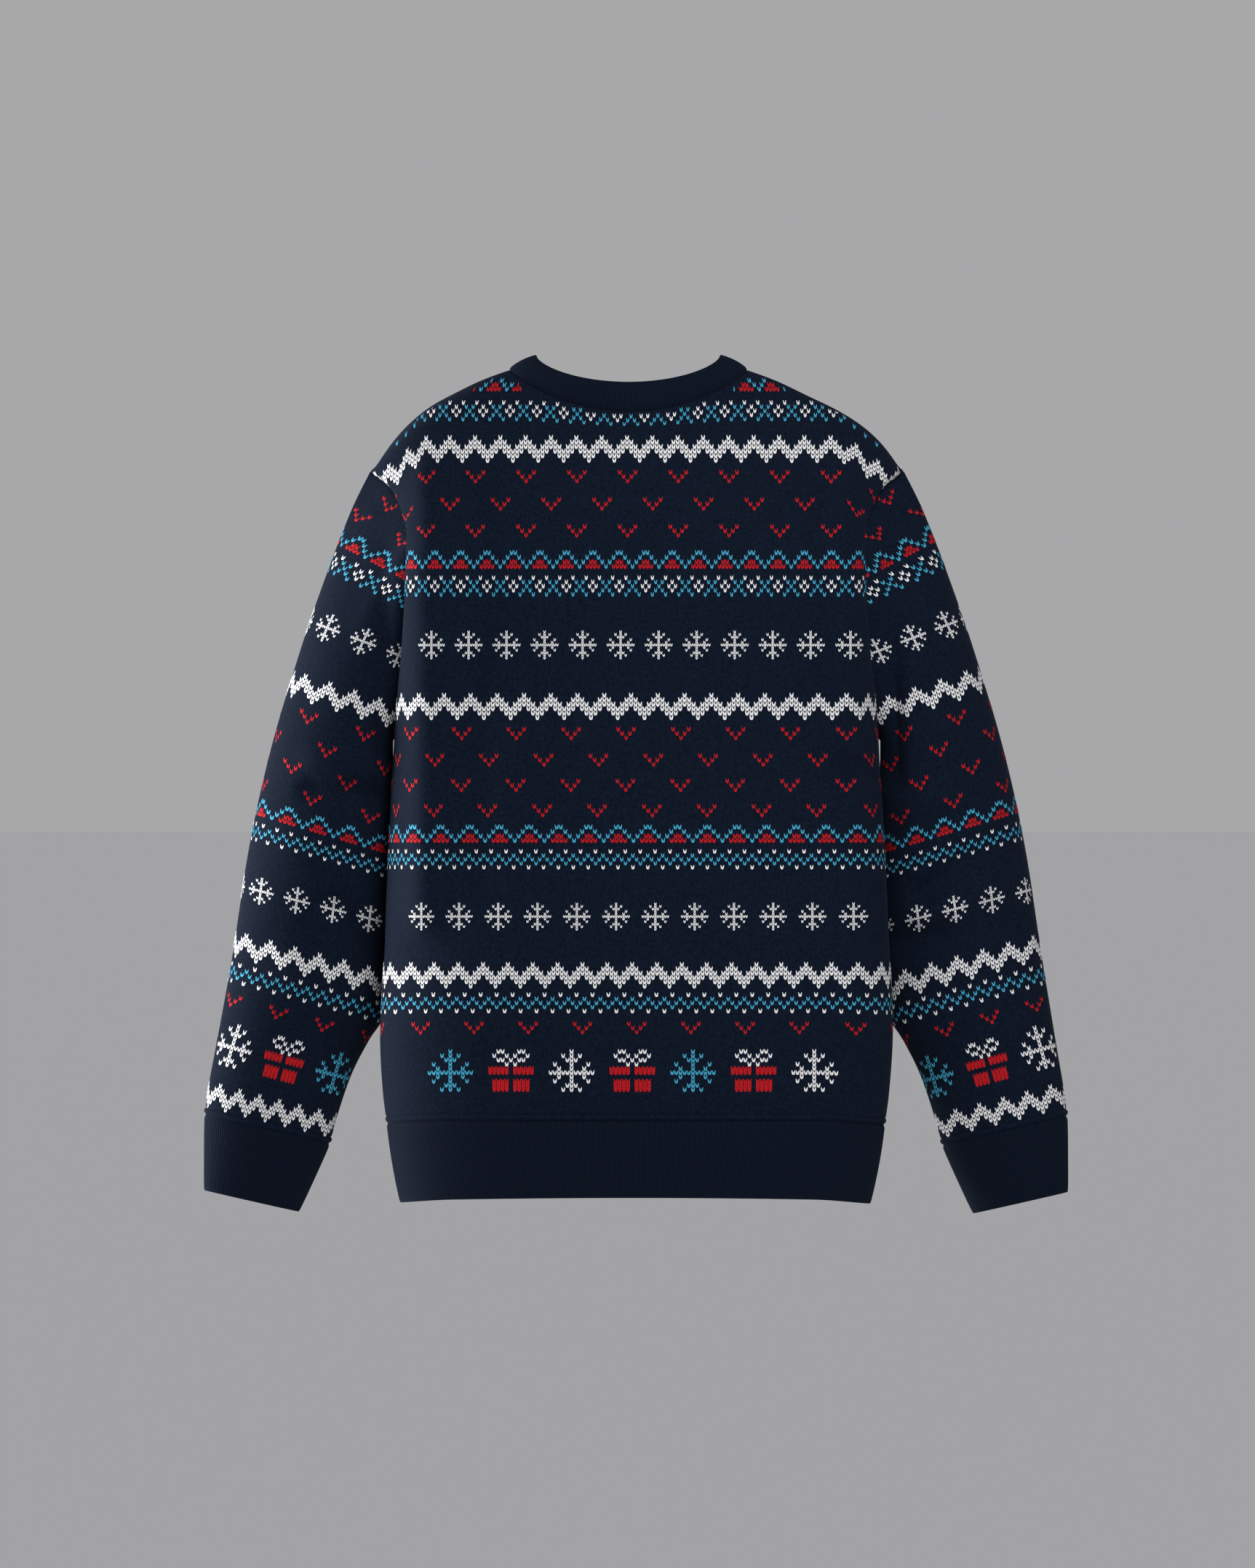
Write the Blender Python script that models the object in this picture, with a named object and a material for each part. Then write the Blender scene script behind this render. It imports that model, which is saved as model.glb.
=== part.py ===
# Christmas sweater: a crew-neck sweatshirt, filled out as if worn, with nobody in it.
# Eight cloth pieces, each a closed wall: front, back, two sleeves, collar, hem band, two cuffs.
# Frame: X to the wearer's left, the front faces -Y, Z up; origin between the high shoulder points.
# Every size below is in millimetres, and the meshes are written in metres.
import bpy
import bmesh
import numpy as np
from math import pi

for old in list(bpy.data.objects):
    bpy.data.objects.remove(old, do_unlink=True)

MM = 0.001
CLOTH = 2.2             # thickness of the fleecy jersey, and of the rib knit between two ribs
RIB_RISE = 0.9          # how far a rib stands up from the rib knit
GAP = 0.3               # space between two pieces at a seam
MITRE = 1.7             # longest corner of a wall, as a multiple of its thickness

HEM_Z = -635.0          # seam between the panels and the hem band
TIP_X = 224.0           # shoulder tip, top of the armhole
TIP_Y = -2.0
TIP_Z = -84.0
NECK_X = 101.0          # half width of the neck seam
NECK_BACK_DROP = 34.5
NECK_FRONT_DROP = 92.0
NECK_BACK_CURVE = 0.5   # exponents of the two necklines: 0.5 is half an ellipse, more is straighter
NECK_FRONT_CURVE = 0.62
BOXY = 0.12             # how much fuller than an ellipse a body section is
ROUNDING_BACK = 160.0   # height over which the shoulders slope away
ROUNDING_FRONT = 240.0
ROUNDING_TIP = 75.0     # and the same at the shoulder tips
SHOULDER_ROLL = 14.0    # radius of the roll along the shoulder seams

# Back half of the body: height, widest half width and where it lies, back depth,
# angle at which the panel ends past the centre back, front depth.
TORSO = (
    # z,     fold_x, fold_y, back_y, end_deg, front_y
    (-635.0, 207.0, 24.0, 112.0, 94.0, -110.0),
    (-607.0, 211.0, 27.0, 119.0, 96.0, -120.0),
    (-551.0, 214.5, 30.0, 124.0, 98.0, -129.0),
    (-479.0, 212.0, 31.0, 125.0, 100.0, -133.0),
    (-374.0, 207.0, 31.0, 123.0, 103.0, -136.0),
    (-305.0, 202.0, 38.0, 122.0, 105.0, -137.0),
    (-290.0, 201.0, 49.0, 122.0, 104.5, -137.0),
    (-271.0, 199.0, 58.0, 122.0, 104.0, -136.0),
    (-230.0, 193.0, 68.0, 122.0, 101.0, -133.0),
    (-179.0, 189.0, 75.0, 121.0, 98.0, -128.0),
    (-150.0, 188.5, 69.0, 119.0, 93.0, -123.0),
    (-137.0, 188.5, 60.0, 117.0, 90.0, -121.0),
    (-111.0, 199.0, 36.0, 113.0, 90.0, -116.0),
    (-97.0, 209.0, 20.0, 110.0, 90.0, -113.0),
    (-84.0, 224.0, -2.0, 107.0, 90.0, -110.0),
    (0.0, 224.0, -2.0, 90.0, 90.0, -95.0),
)
# Body section away from the armholes: height, half width, depth of its widest point, back and front.
MIDDLE = (
    # z,     half_x, back_y, front_y
    (-635.0, 207.0, 24.0, 16.0),
    (-551.0, 214.5, 30.0, 14.0),
    (-479.0, 212.0, 31.0, 12.0),
    (-374.0, 207.0, 31.0, 8.0),
    (-305.0, 202.0, 40.0, 0.0),
    (-230.0, 194.0, 68.0, -40.0),
    (-179.0, 191.0, 74.0, -54.0),
    (-137.0, 196.0, 62.0, -50.0),
    (-110.0, 207.0, 52.0, -42.0),
    (-84.0, 218.0, 40.0, -34.0),
    (-50.0, 223.0, 40.0, -30.0),
    (0.0, 224.0, 40.0, -30.0),
)
# Front edge of the armhole, as steps from its back edge at the same height.
ARMHOLE_FRONT = (
    # z,     step_x, step_y
    (-305.0, 0.0, 0.0),
    (-298.0, 0.5, -34.0),
    (-286.0, 0.5, -62.0),
    (-260.0, 1.0, -98.0),
    (-220.0, 1.0, -122.0),
    (-180.0, 0.5, -133.0),
    (-137.0, 3.0, -116.0),
    (-111.0, 2.5, -74.0),
    (-97.0, 1.5, -42.0),
    (-84.0, 0.0, 0.0),
)
# Shoulder line seen from behind, carried on over the neck hole: half width, height.
SHOULDER = (
    # x,     z
    (0.0, 22.0),
    (55.0, 15.0),
    (101.0, 0.0),
    (124.0, -8.5),
    (147.0, -19.5),
    (172.0, -32.5),
    (190.0, -45.0),
    (205.0, -59.0),
    (216.0, -72.0),
    (224.0, -84.0),
)
# Sleeve sections: outer and inner edge seen from behind, middle and half depth front to back.
SLEEVE = (
    # ring, out_x, out_z, in_x, in_z, mid_y, half_y
    (0.0, 224.0, -84.0, 195.0, -305.0, 4.0, 67.0),
    (1.0, 238.5, -113.0, 205.0, -314.0, 0.0, 63.0),
    (2.0, 252.0, -146.0, 205.0, -329.0, -5.0, 60.0),
    (3.0, 265.0, -181.0, 204.0, -348.0, -10.0, 59.0),
    (4.0, 279.0, -221.0, 203.5, -370.0, -14.0, 58.0),
    (5.0, 292.0, -262.0, 204.0, -393.0, -18.0, 58.0),
    (6.0, 303.5, -300.0, 205.0, -418.0, -22.0, 58.0),
    (7.0, 313.5, -338.0, 206.0, -442.0, -27.0, 57.5),
    (8.0, 322.5, -378.0, 207.0, -466.0, -31.0, 57.0),
    (9.0, 330.0, -418.0, 208.0, -490.0, -35.0, 55.0),
    (10.0, 336.0, -458.0, 209.0, -513.0, -39.0, 53.0),
    (11.0, 342.0, -498.0, 211.0, -541.0, -43.0, 50.0),
    (12.0, 348.0, -536.0, 224.0, -564.0, -47.0, 46.0),
    (13.0, 353.5, -571.0, 237.0, -590.0, -51.0, 42.0),
    (14.0, 358.5, -601.0, 248.0, -622.0, -54.0, 38.0),
    (15.0, 361.5, -625.0, 256.0, -650.0, -56.0, 34.0),
)
# Cuff sections, below the sleeve's last one.
CUFF = (
    # step, out_x, out_z, in_x, in_z, mid_y, half_y
    (0.0, 361.5, -625.0, 256.0, -650.0, -56.0, 34.0),
    (1.0, 361.0, -657.0, 269.5, -678.0, -58.0, 27.0),
    (2.0, 362.0, -690.0, 282.5, -708.0, -60.0, 22.0),
)
# Folds of the back panel and of both sleeves, seen from behind. Each is a soft ridge or hollow
# along a line, on the side named; plus x is the wearer's left.
FOLDS = (
    # piece,   x0,     z0,     x1,     z1,    half_width, rise
    ("back", 176.0, -150.0, 172.0, -250.0, 15.0, 4.0),
    ("back", -176.0, -150.0, -172.0, -250.0, 15.0, 4.0),
    ("back", 152.0, -150.0, 140.0, -250.0, 15.0, -3.0),
    ("back", -152.0, -150.0, -136.0, -300.0, 17.0, 4.0),
    ("back", 146.0, -300.0, 150.0, -470.0, 17.0, -4.0),
    ("back", 172.0, -350.0, 176.0, -500.0, 15.0, 2.5),
    ("back", 118.0, -420.0, 60.0, -600.0, 18.0, -3.0),
    ("back", -30.0, -560.0, -62.0, -618.0, 12.0, -3.0),
    ("back", 52.0, -560.0, 46.0, -620.0, 12.0, -3.0),
    ("back", -140.0, -420.0, -120.0, -600.0, 20.0, 3.0),
    ("left", 208.0, -335.0, 248.0, -372.0, 11.0, -6.0),
    ("left", 222.0, -380.0, 268.0, -410.0, 12.0, 4.0),
    ("left", 218.0, -498.0, 270.0, -430.0, 14.0, -7.0),
    ("left", 232.0, -540.0, 300.0, -490.0, 15.0, 3.5),
    ("right", -220.0, -445.0, -270.0, -395.0, 12.0, -6.0),
    ("right", -240.0, -500.0, -294.0, -462.0, 12.0, -6.0),
    ("right", -225.0, -380.0, -262.0, -352.0, 12.0, 4.0),
    ("right", -240.0, -470.0, -300.0, -430.0, 11.0, 3.0),
)

# Rows of the panels as heights on the armhole edge, from the hem seam up.
ROWS_RIDGE = (-635.0, -631.0, -627.0)
ROWS_BODY = (-612.0, -575.0, -532.0, -487.0, -441.0, -395.0, -349.0)
ROWS_ARMHOLE = (-305.0, -298.0, -282.0, -260.0, -236.0, -212.0, -188.0, -165.0,
                -145.0, -128.0, -112.0, -98.0, -89.0, -84.0)
NECK_ANGLES = (-90.0, -76.0, -62.0, -47.0, -31.0, -16.0, 0.0,
               16.0, 31.0, 47.0, 62.0, 76.0, 90.0)
SIDE_COLUMNS = 10
RIDGE_RISE = 1.2        # puffed seam over the hem band and the cuffs
PITCH_NECK = 5.5        # from rib to rib of the collar
PITCH_CUFF = 6.0
PITCH_HEM = 7.0
COLLAR_PEAK_X = 77.0    # free edge of the collar over the shoulder seams
COLLAR_PEAK_Z = 13.0
COLLAR_BACK_Z = -10.0
COLLAR_BACK_REACH = 44.0
COLLAR_FRONT_Z = -67.0
COLLAR_FRONT_REACH = 70.0
COLLAR_ROLL = 1.5       # how far the middle of the collar swells out
HEM_FOOT_Z = -697.0
HEM_FOOT_CURVE = 3.0    # its side corners hang this much lower
HEM_DRAW = 0.945        # the free edge is this much narrower than the seam


def smooth(table, column, at):
    """One column of a table at the places asked for, by a curve with no overshoot."""
    rows = np.array(table, float)
    xs = rows[:, 0]
    ys = rows[:, column]
    step = np.diff(xs)
    slope = np.diff(ys) / step
    tangent = np.zeros(len(xs))
    tangent[0] = slope[0]
    tangent[-1] = slope[-1]
    same = slope[1:] * slope[:-1] > 0
    mean = 2 * slope[1:] * slope[:-1] / np.where(same, slope[1:] + slope[:-1], 1.0)
    tangent[1:-1] = np.where(same, mean, 0.0)
    at = np.clip(at, xs[0], xs[-1])
    i = np.clip(np.searchsorted(xs, at) - 1, 0, len(step) - 1)
    s = (at - xs[i]) / step[i]
    low = (1 + 2 * s) * (1 - s) ** 2 * ys[i] + s * (1 - s) ** 2 * step[i] * tangent[i]
    high = s * s * (3 - 2 * s) * ys[i + 1] + s * s * (s - 1) * step[i] * tangent[i + 1]
    return low + high


def ease(value):
    """0 to 1 with soft ends."""
    value = np.clip(value, 0.0, 1.0)
    return value * value * (3 - 2 * value)


def lean(points):
    """The slight unevenness of the hanging garment: collar to one side, sleeves to the other."""
    out = np.array(points, float)
    side = ease((np.abs(out[..., 0]) - 150.0) / 70.0)
    high = ease((out[..., 2] + 110.0) / 110.0)
    out[..., 0] += 4.0 * high * (1 - side) - 3.5 * side * ease((out[..., 2] + 720.0) / 90.0)
    return out


def unit(v):
    return v / np.maximum(np.linalg.norm(v, axis=-1, keepdims=True), 1e-9)


# ---------------------------------------------------------------- surfaces of the body

def shoulder_ridge(w):
    """Top line of the garment, carried on across the neck; w runs from -1 to 1 across a panel."""
    x = TIP_X * np.sin(w * pi / 2)
    z = smooth(SHOULDER, 1, np.abs(x))
    y = TIP_Y * np.clip((np.abs(x) - NECK_X) / (TIP_X - NECK_X), 0.0, 1.0)
    return x, y, z


def panel(side, w, rise):
    """Points of the front or back panel; rise runs from 0 at the hem seam to 1 at the top."""
    top_x, top_y, top_z = shoulder_ridge(w)
    arc = np.clip(1 - (top_x / NECK_X) ** 2, 0.0, 1.0)
    if side == "back":
        neckline = -NECK_BACK_DROP * arc ** NECK_BACK_CURVE
    else:
        neckline = -NECK_FRONT_DROP * arc ** NECK_FRONT_CURVE
    edge_z = np.where(np.abs(top_x) < NECK_X, neckline, top_z)
    z = HEM_Z + (edge_z - HEM_Z) * rise
    fold_x = smooth(TORSO, 1, z)
    fold_y = smooth(TORSO, 2, z)
    back_y = smooth(TORSO, 3, z)
    end = np.radians(smooth(TORSO, 4, z))
    inner = 1 - np.abs(w) ** 5
    mid_x = smooth(MIDDLE, 1, z)
    if side == "back":
        turn = w * end
        mid_y = smooth(MIDDLE, 2, z)
        depth = back_y
    else:
        turn = w * pi / 2
        mid_y = smooth(MIDDLE, 3, z)
        depth = smooth(TORSO, 5, z)
        seam_x = fold_x * np.sin(end)
        seam_y = fold_y + (back_y - fold_y) * np.cos(end) * (1 + BOXY * np.sin(end) ** 2)
        fold_x = seam_x + smooth(ARMHOLE_FRONT, 1, z)
        fold_y = seam_y + smooth(ARMHOLE_FRONT, 2, z)
    half_x = fold_x + (mid_x - fold_x) * inner
    half_y = fold_y + (mid_y - fold_y) * inner
    x = half_x * np.sin(turn)
    y = half_y + (depth - half_y) * np.cos(turn) * (1 + BOXY * np.sin(turn) ** 2)
    below = top_z - z
    rounding = ROUNDING_BACK if side == "back" else ROUNDING_FRONT
    reach = rounding + (ROUNDING_TIP - rounding) * w ** 2
    over = np.sin(pi / 2 * np.clip(below / reach, 0.0, 1.0))
    over = np.where(below < 0.001, 0.0, over ** (1 - np.abs(w) ** 3))
    roll = SHOULDER_ROLL * np.sqrt(1 - np.clip(1 - below / SHOULDER_ROLL, 0.0, 1.0) ** 2)
    roll = roll * (1 - over) * ease(np.abs(w) / 0.5) * (1 - np.abs(w) ** 4)
    y = top_y + (y - top_y) * over + (roll if side == "back" else -roll)
    return np.stack([x, y, z], axis=-1)


def fold_rise(piece, x, z):
    """Height of all the folds of one piece at points seen from behind."""
    total = np.zeros(np.shape(x))
    for name, x0, z0, x1, z1, half_width, rise in FOLDS:
        if name != piece:
            continue
        length = np.hypot(x1 - x0, z1 - z0)
        along = ((x - x0) * (x1 - x0) + (z - z0) * (z1 - z0)) / length
        across = ((x - x0) * (z1 - z0) - (z - z0) * (x1 - x0)) / length
        start = ease((along + half_width) / (2 * half_width))
        finish = ease((length + half_width - along) / (2 * half_width))
        total += rise * np.exp(-(across / half_width) ** 2) * start * finish
    return total


def grid_normals(grid, sign, closed):
    """Outward normals of a grid of points; closed if its columns run right round a tube."""
    if closed:
        across = np.roll(grid, -1, axis=1) - np.roll(grid, 1, axis=1)
    else:
        across = np.gradient(grid, axis=1)
    along = np.gradient(grid, axis=0)
    return sign * unit(np.cross(across, along))


def panel_grid(side):
    """All points of a panel, as rows from the hem up and columns from the right side to the left."""
    neck = 2 / pi * np.arcsin(NECK_X / TIP_X * np.sin(np.radians(NECK_ANGLES)))
    half = np.linspace(neck[-1], 1.0, SIDE_COLUMNS + 1)
    w = np.concatenate([-half[::-1], neck[1:-1], half])
    edge = np.array(ROWS_RIDGE + ROWS_BODY + ROWS_ARMHOLE)
    rise = (edge - HEM_Z) / (TIP_Z - HEM_Z)
    ww, rr = np.meshgrid(w, rise)
    base = panel(side, ww, rr)
    if side == "back":
        fade = ease((1 - np.abs(ww)) / 0.12) * ease(rr / 0.06) * ease((1 - rr) / 0.08)
        lift = fold_rise("back", base[..., 0], base[..., 2]) * fade
        base = base + grid_normals(base, -1, False) * lift[..., None]
    return base


# ---------------------------------------------------------------- surfaces of the sleeves and bands

def armhole_loop():
    """Seam loop of the left armhole, down its back edge and up its front edge."""
    edge = np.array(ROWS_ARMHOLE)[::-1]
    rise = (edge - HEM_Z) / (TIP_Z - HEM_Z)
    back = panel("back", np.ones(len(edge)), rise)
    front = panel("front", np.ones(len(edge)), rise)
    return np.concatenate([back, front[::-1][1:-1]])


def tube_frame(table, at):
    """Middle, long half axis, depth half axis and normal of sleeve or cuff sections."""
    zero = np.zeros(np.shape(at))
    out_x = smooth(table, 1, at)
    out_z = smooth(table, 2, at)
    in_x = smooth(table, 3, at)
    in_z = smooth(table, 4, at)
    middle = np.stack([(out_x + in_x) / 2, smooth(table, 5, at), (out_z + in_z) / 2], axis=-1)
    long = np.stack([(out_x - in_x) / 2, zero, (out_z - in_z) / 2], axis=-1)
    deep = np.stack([zero, smooth(table, 6, at), zero], axis=-1)
    normal = unit(np.cross(long, deep))
    return middle, long, deep, normal


def sleeve_grid(piece):
    """Rings of a sleeve from the armhole to the cuff seam, worked out on the left side."""
    loop = armhole_loop()
    count = len(loop)
    rings = np.concatenate([np.arange(0.0, 15.0), [14.7, 14.85, 15.0]])
    middle, long, deep, normal = tube_frame(SLEEVE, rings)
    away = loop - middle[0]
    blend = ease(rings / 4.0)[:, None]
    angle = np.arange(count) * 2 * pi / count
    a = away @ long[0] / (long[0] @ long[0]) * (1 - blend) + np.cos(angle) * blend
    b = away[:, 1] / deep[0, 1] * (1 - blend) + np.sin(angle) * blend
    c = away @ normal[0] * (1 - blend)
    grid = middle[:, None] + a[..., None] * long[:, None] + b[..., None] * deep[:, None]
    grid = grid + c[..., None] * normal[:, None]
    side = 1 if piece == "left" else -1
    fade = ease(rings / 3.0)[:, None] * ease((14.7 - rings) / 1.0)[:, None] * ease(b / 0.5)
    lift = fold_rise(piece, side * grid[..., 0], grid[..., 2]) * fade
    grid = grid + grid_normals(grid, -1, True) * lift[..., None]
    grid[0] = loop
    return grid * np.array([side, 1, 1])


def cuff_grid(side):
    """Rings of a cuff, from the sleeve's end down."""
    count = 2 * (len(ROWS_ARMHOLE) - 1)
    angle = np.arange(count) * 2 * pi / count
    middle, long, deep, normal = tube_frame(CUFF, np.array([0.0, 1.0, 2.0]))
    grid = middle[:, None] + np.cos(angle)[:, None] * long[:, None]
    grid = grid + np.sin(angle)[:, None] * deep[:, None]
    return grid * np.array([side, 1, 1])


def neck_seam(back, front):
    """Columns of both panels along the neckline: across the back, then back across the front."""
    first = SIDE_COLUMNS
    over = back[-1, first:first + len(NECK_ANGLES)]
    under = front[-1, first:first + len(NECK_ANGLES)][::-1]
    return np.concatenate([over, under[1:-1]])


def collar_grid(seam):
    """Rows of the collar from the neck seam to its free edge, leaning in towards the neck."""
    sine = np.clip(seam[:, 0] / NECK_X, -1, 1)
    cosine = np.sqrt(1 - sine ** 2)
    back = seam[:, 1] >= 0
    top_y = np.where(back, COLLAR_BACK_REACH, -COLLAR_FRONT_REACH) * cosine
    low = np.where(back, COLLAR_BACK_Z, COLLAR_FRONT_Z)
    top_z = COLLAR_PEAK_Z + (low - COLLAR_PEAK_Z) * cosine ** 1.25
    top = np.stack([COLLAR_PEAK_X * sine, top_y, top_z], axis=-1)
    outward = unit(np.stack([sine, np.where(back, cosine, -cosine), 0.5 + 0 * sine], axis=-1))
    middle = (seam + top) / 2 + COLLAR_ROLL * outward
    return np.stack([seam, middle, top])


def hem_seam(back, front):
    """Bottom edge of both panels: across the back, then back across the front."""
    return np.concatenate([back[0], front[0][::-1][1:-1]])


def hem_grid(seam):
    """Rows of the hem band, from the panels down; it draws in towards its free edge."""
    foot = np.array(seam)
    foot[:, 0] *= HEM_DRAW
    foot[:, 1] = seam[:, 1] * HEM_DRAW
    foot[:, 2] = HEM_FOOT_Z - HEM_FOOT_CURVE * (foot[:, 0] / 200.0) ** 2
    return np.stack([seam, foot])


# ---------------------------------------------------------------- walls

def edge_points(grid, sign, closed):
    """Border points of a piece with its own outward normals there."""
    normals = grid_normals(grid, sign, closed)
    border = np.zeros(grid.shape[:2], bool)
    border[0] = True
    border[-1] = True
    if not closed:
        border[:, 0] = True
        border[:, -1] = True
    return np.concatenate([grid[border], normals[border]], axis=-1)


def seam_through(point, seams):
    """Direction through the cloth, and depth of it, that all pieces meeting at a seam share."""
    found = seams[np.all(np.abs(seams[:, :3] - point) < 0.02, axis=1), 3:]
    if len(found) == 0:
        return None
    if len(found) == 3:
        # both panels count as one where they meet a sleeve, the collar or the hem band
        direction = unit((found[0] + found[1]) / 2 + found[2])
    else:
        direction = unit(found.sum(axis=0))
    facing = np.maximum(found @ direction, 0.2)
    return direction, min(np.mean(1 / facing), MITRE)


def pull_back(grid, through, closed):
    """Draw the edges of a piece back by half the seam gap, measured square to the seam."""
    out = np.array(grid)
    out[0] += gap_step(grid[0], grid[1], through[0], closed)
    out[-1] += gap_step(grid[-1], grid[-2], through[-1], closed)
    if not closed:
        out[:, 0] += gap_step(grid[:, 0], grid[:, 1], through[:, 0], False)
        out[:, -1] += gap_step(grid[:, -1], grid[:, -2], through[:, -1], False)
    return out


def gap_step(edge, inside, through, closed):
    """Half the seam gap at each point of an edge, more at its corners and where it leans."""
    onward = unit(np.roll(edge, -1, axis=0) - edge)
    behind = np.roll(onward, 1, axis=0)
    if not closed:
        onward[-1] = behind[-1]
        behind[0] = onward[0]
    corner = np.linalg.norm(onward + behind, axis=-1, keepdims=True) / 2
    tangent = unit(onward + behind)
    toward = inside - edge
    inward = unit(toward - tangent * np.sum(toward * tangent, axis=-1, keepdims=True))
    square = unit(np.cross(tangent, through))
    facing = np.abs(np.sum(inward * square, axis=-1, keepdims=True))
    return inward * (GAP / 2) / np.maximum(facing * corner, 0.4)


def wall_parts(grid, sign, closed, seams):
    """Pulled-back points, directions through the cloth, and the inner points."""
    through = grid_normals(grid, sign, closed)
    depth = np.ones(grid.shape[:2] + (1,))
    for i in range(grid.shape[0]):
        for j in range(grid.shape[1]):
            shared = seam_through(grid[i, j], seams)
            if shared is not None:
                through[i, j], depth[i, j] = shared
    base = pull_back(grid, through, closed)
    return base, through, base - through * depth * CLOTH


def grid_faces(rows, columns, start, closed):
    faces = []
    for i in range(rows - 1):
        for j in range(columns if closed else columns - 1):
            k = (j + 1) % columns
            a = start + i * columns + j
            b = start + i * columns + k
            faces.append((a, b, b + columns, a + columns))
    return faces


def wall_faces(points, rows, columns, closed):
    """Triangles of a wall's outside and inside, each pair cut along the same, shorter diagonal."""
    count = rows * columns
    faces = []
    for a, b, c, d in grid_faces(rows, columns, 0, closed):
        if np.linalg.norm(points[a] - points[c]) <= np.linalg.norm(points[b] - points[d]):
            halves = [(a, b, c), (a, c, d)]
        else:
            halves = [(a, b, d), (b, c, d)]
        faces += halves + [tuple(k + count for k in half) for half in halves]
    return faces


def rim(a, b, count, points):
    """The edge of a wall between two points, split the same way on both sides of a seam."""
    if points[a, 2] > points[b, 2]:
        a, b = b, a
    return [(a, b, b + count), (a, b + count, a + count)]


def add_solid(name, points, faces, colour, roughness):
    mesh = bpy.data.meshes.new(name)
    mesh.from_pydata((lean(points) * MM).tolist(), [], faces)
    work = bmesh.new()
    work.from_mesh(mesh)
    bmesh.ops.triangulate(work, faces=work.faces[:])
    bmesh.ops.recalc_face_normals(work, faces=work.faces[:])
    work.to_mesh(mesh)
    work.free()
    material = bpy.data.materials.new(name)
    material.use_nodes = True
    shader = material.node_tree.nodes["Principled BSDF"]
    shader.inputs["Base Color"].default_value = colour
    shader.inputs["Roughness"].default_value = roughness
    mesh.materials.append(material)
    item = bpy.data.objects.new(name, mesh)
    sweater.objects.link(item)
    return item


def make_panel(name, grid, sign, seams):
    """A panel with the puffed seam over the hem band raised in its outer points."""
    base, through, inner = wall_parts(grid, sign, False, seams)
    outer = np.array(base)
    outer[1] += through[1] * RIDGE_RISE
    rows, columns = grid.shape[:2]
    count = rows * columns
    points = np.concatenate([outer.reshape(-1, 3), inner.reshape(-1, 3)])
    faces = wall_faces(points, rows, columns, False)
    border = [j for j in range(columns)]
    border += [i * columns + columns - 1 for i in range(1, rows)]
    border += [(rows - 1) * columns + j for j in range(columns - 2, -1, -1)]
    border += [i * columns for i in range(rows - 2, 0, -1)]
    for a, b in zip(border, border[1:] + border[:1]):
        faces += rim(a, b, count, points)
    return add_solid(name, points, faces, NAVY, 0.9)


def make_sleeve(name, grid, sign, seams):
    """A sleeve with the puffed seam over its cuff raised in its outer points."""
    base, through, inner = wall_parts(grid, sign, True, seams)
    outer = np.array(base)
    outer[-2] += through[-2] * RIDGE_RISE
    rows, columns = grid.shape[:2]
    count = rows * columns
    points = np.concatenate([outer.reshape(-1, 3), inner.reshape(-1, 3)])
    faces = wall_faces(points, rows, columns, True)
    for row in (0, rows - 1):
        for j in range(columns):
            a = row * columns + j
            b = row * columns + (j + 1) % columns
            faces += rim(a, b, count, points)
    return add_solid(name, points, faces, NAVY, 0.9)


def rib_spots(row, pitch):
    """Places of the ribs' feet and crests along a closed row, a whole number in each column."""
    spots = []
    for j, step in enumerate(np.linalg.norm(np.roll(row, -1, axis=0) - row, axis=-1)):
        ribs = max(1, round(step / pitch))
        spots += [(j, k / (2 * ribs), RIB_RISE * (k % 2)) for k in range(2 * ribs)]
    return spots


def make_band(name, grid, sign, seams, spots):
    """A ribbed band: its outer points carry the ribs, its inside is plain."""
    base, through, inner = wall_parts(grid, sign, True, seams)
    rows, columns = grid.shape[:2]
    outer = []
    lining = []
    for i in range(rows):
        for j, part, rise in spots:
            k = (j + 1) % columns
            middle = base[i, j] * (1 - part) + base[i, k] * part
            direction = unit(through[i, j] * (1 - part) + through[i, k] * part)
            outer.append(middle + direction * rise)
            if rise == 0 and i in (0, rows - 1):
                lining.append(inner[i, j] * (1 - part) + inner[i, k] * part)
    wide = len(spots)
    half = wide // 2
    count = rows * wide
    points = np.concatenate([np.array(outer), np.array(lining)])
    faces = grid_faces(rows, wide, 0, True) + grid_faces(2, half, count, True)
    for row, inside in ((0, count), (rows - 1, count + half)):
        for rib in range(half):
            valley = row * wide + 2 * rib
            after = row * wide + (2 * rib + 2) % wide
            a = inside + rib
            b = inside + (rib + 1) % half
            faces += [(valley, valley + 1, a), (valley + 1, b, a), (valley + 1, after, b)]
    return add_solid(name, points, faces, NAVY_RIB, 0.85)


# ---------------------------------------------------------------- the garment

NAVY = (0.012, 0.020, 0.040, 1.0)
NAVY_RIB = (0.011, 0.018, 0.036, 1.0)

sweater = bpy.data.collections.new("christmas_sweater")
bpy.context.scene.collection.children.link(sweater)

back = panel_grid("back")
front = panel_grid("front")
left = sleeve_grid("left")
right = sleeve_grid("right")
cuff_l = cuff_grid(1)
cuff_r = cuff_grid(-1)
collar = collar_grid(neck_seam(back, front))
hem = hem_grid(hem_seam(back, front))

PIECES = (
    # grid, sign of its outward normal, closed
    (back, -1, False),
    (front, 1, False),
    (left, -1, True),
    (right, 1, True),
    (cuff_l, -1, True),
    (cuff_r, 1, True),
    (collar, -1, True),
    (hem, 1, True),
)
seams = np.concatenate([edge_points(*piece) for piece in PIECES])

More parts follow.
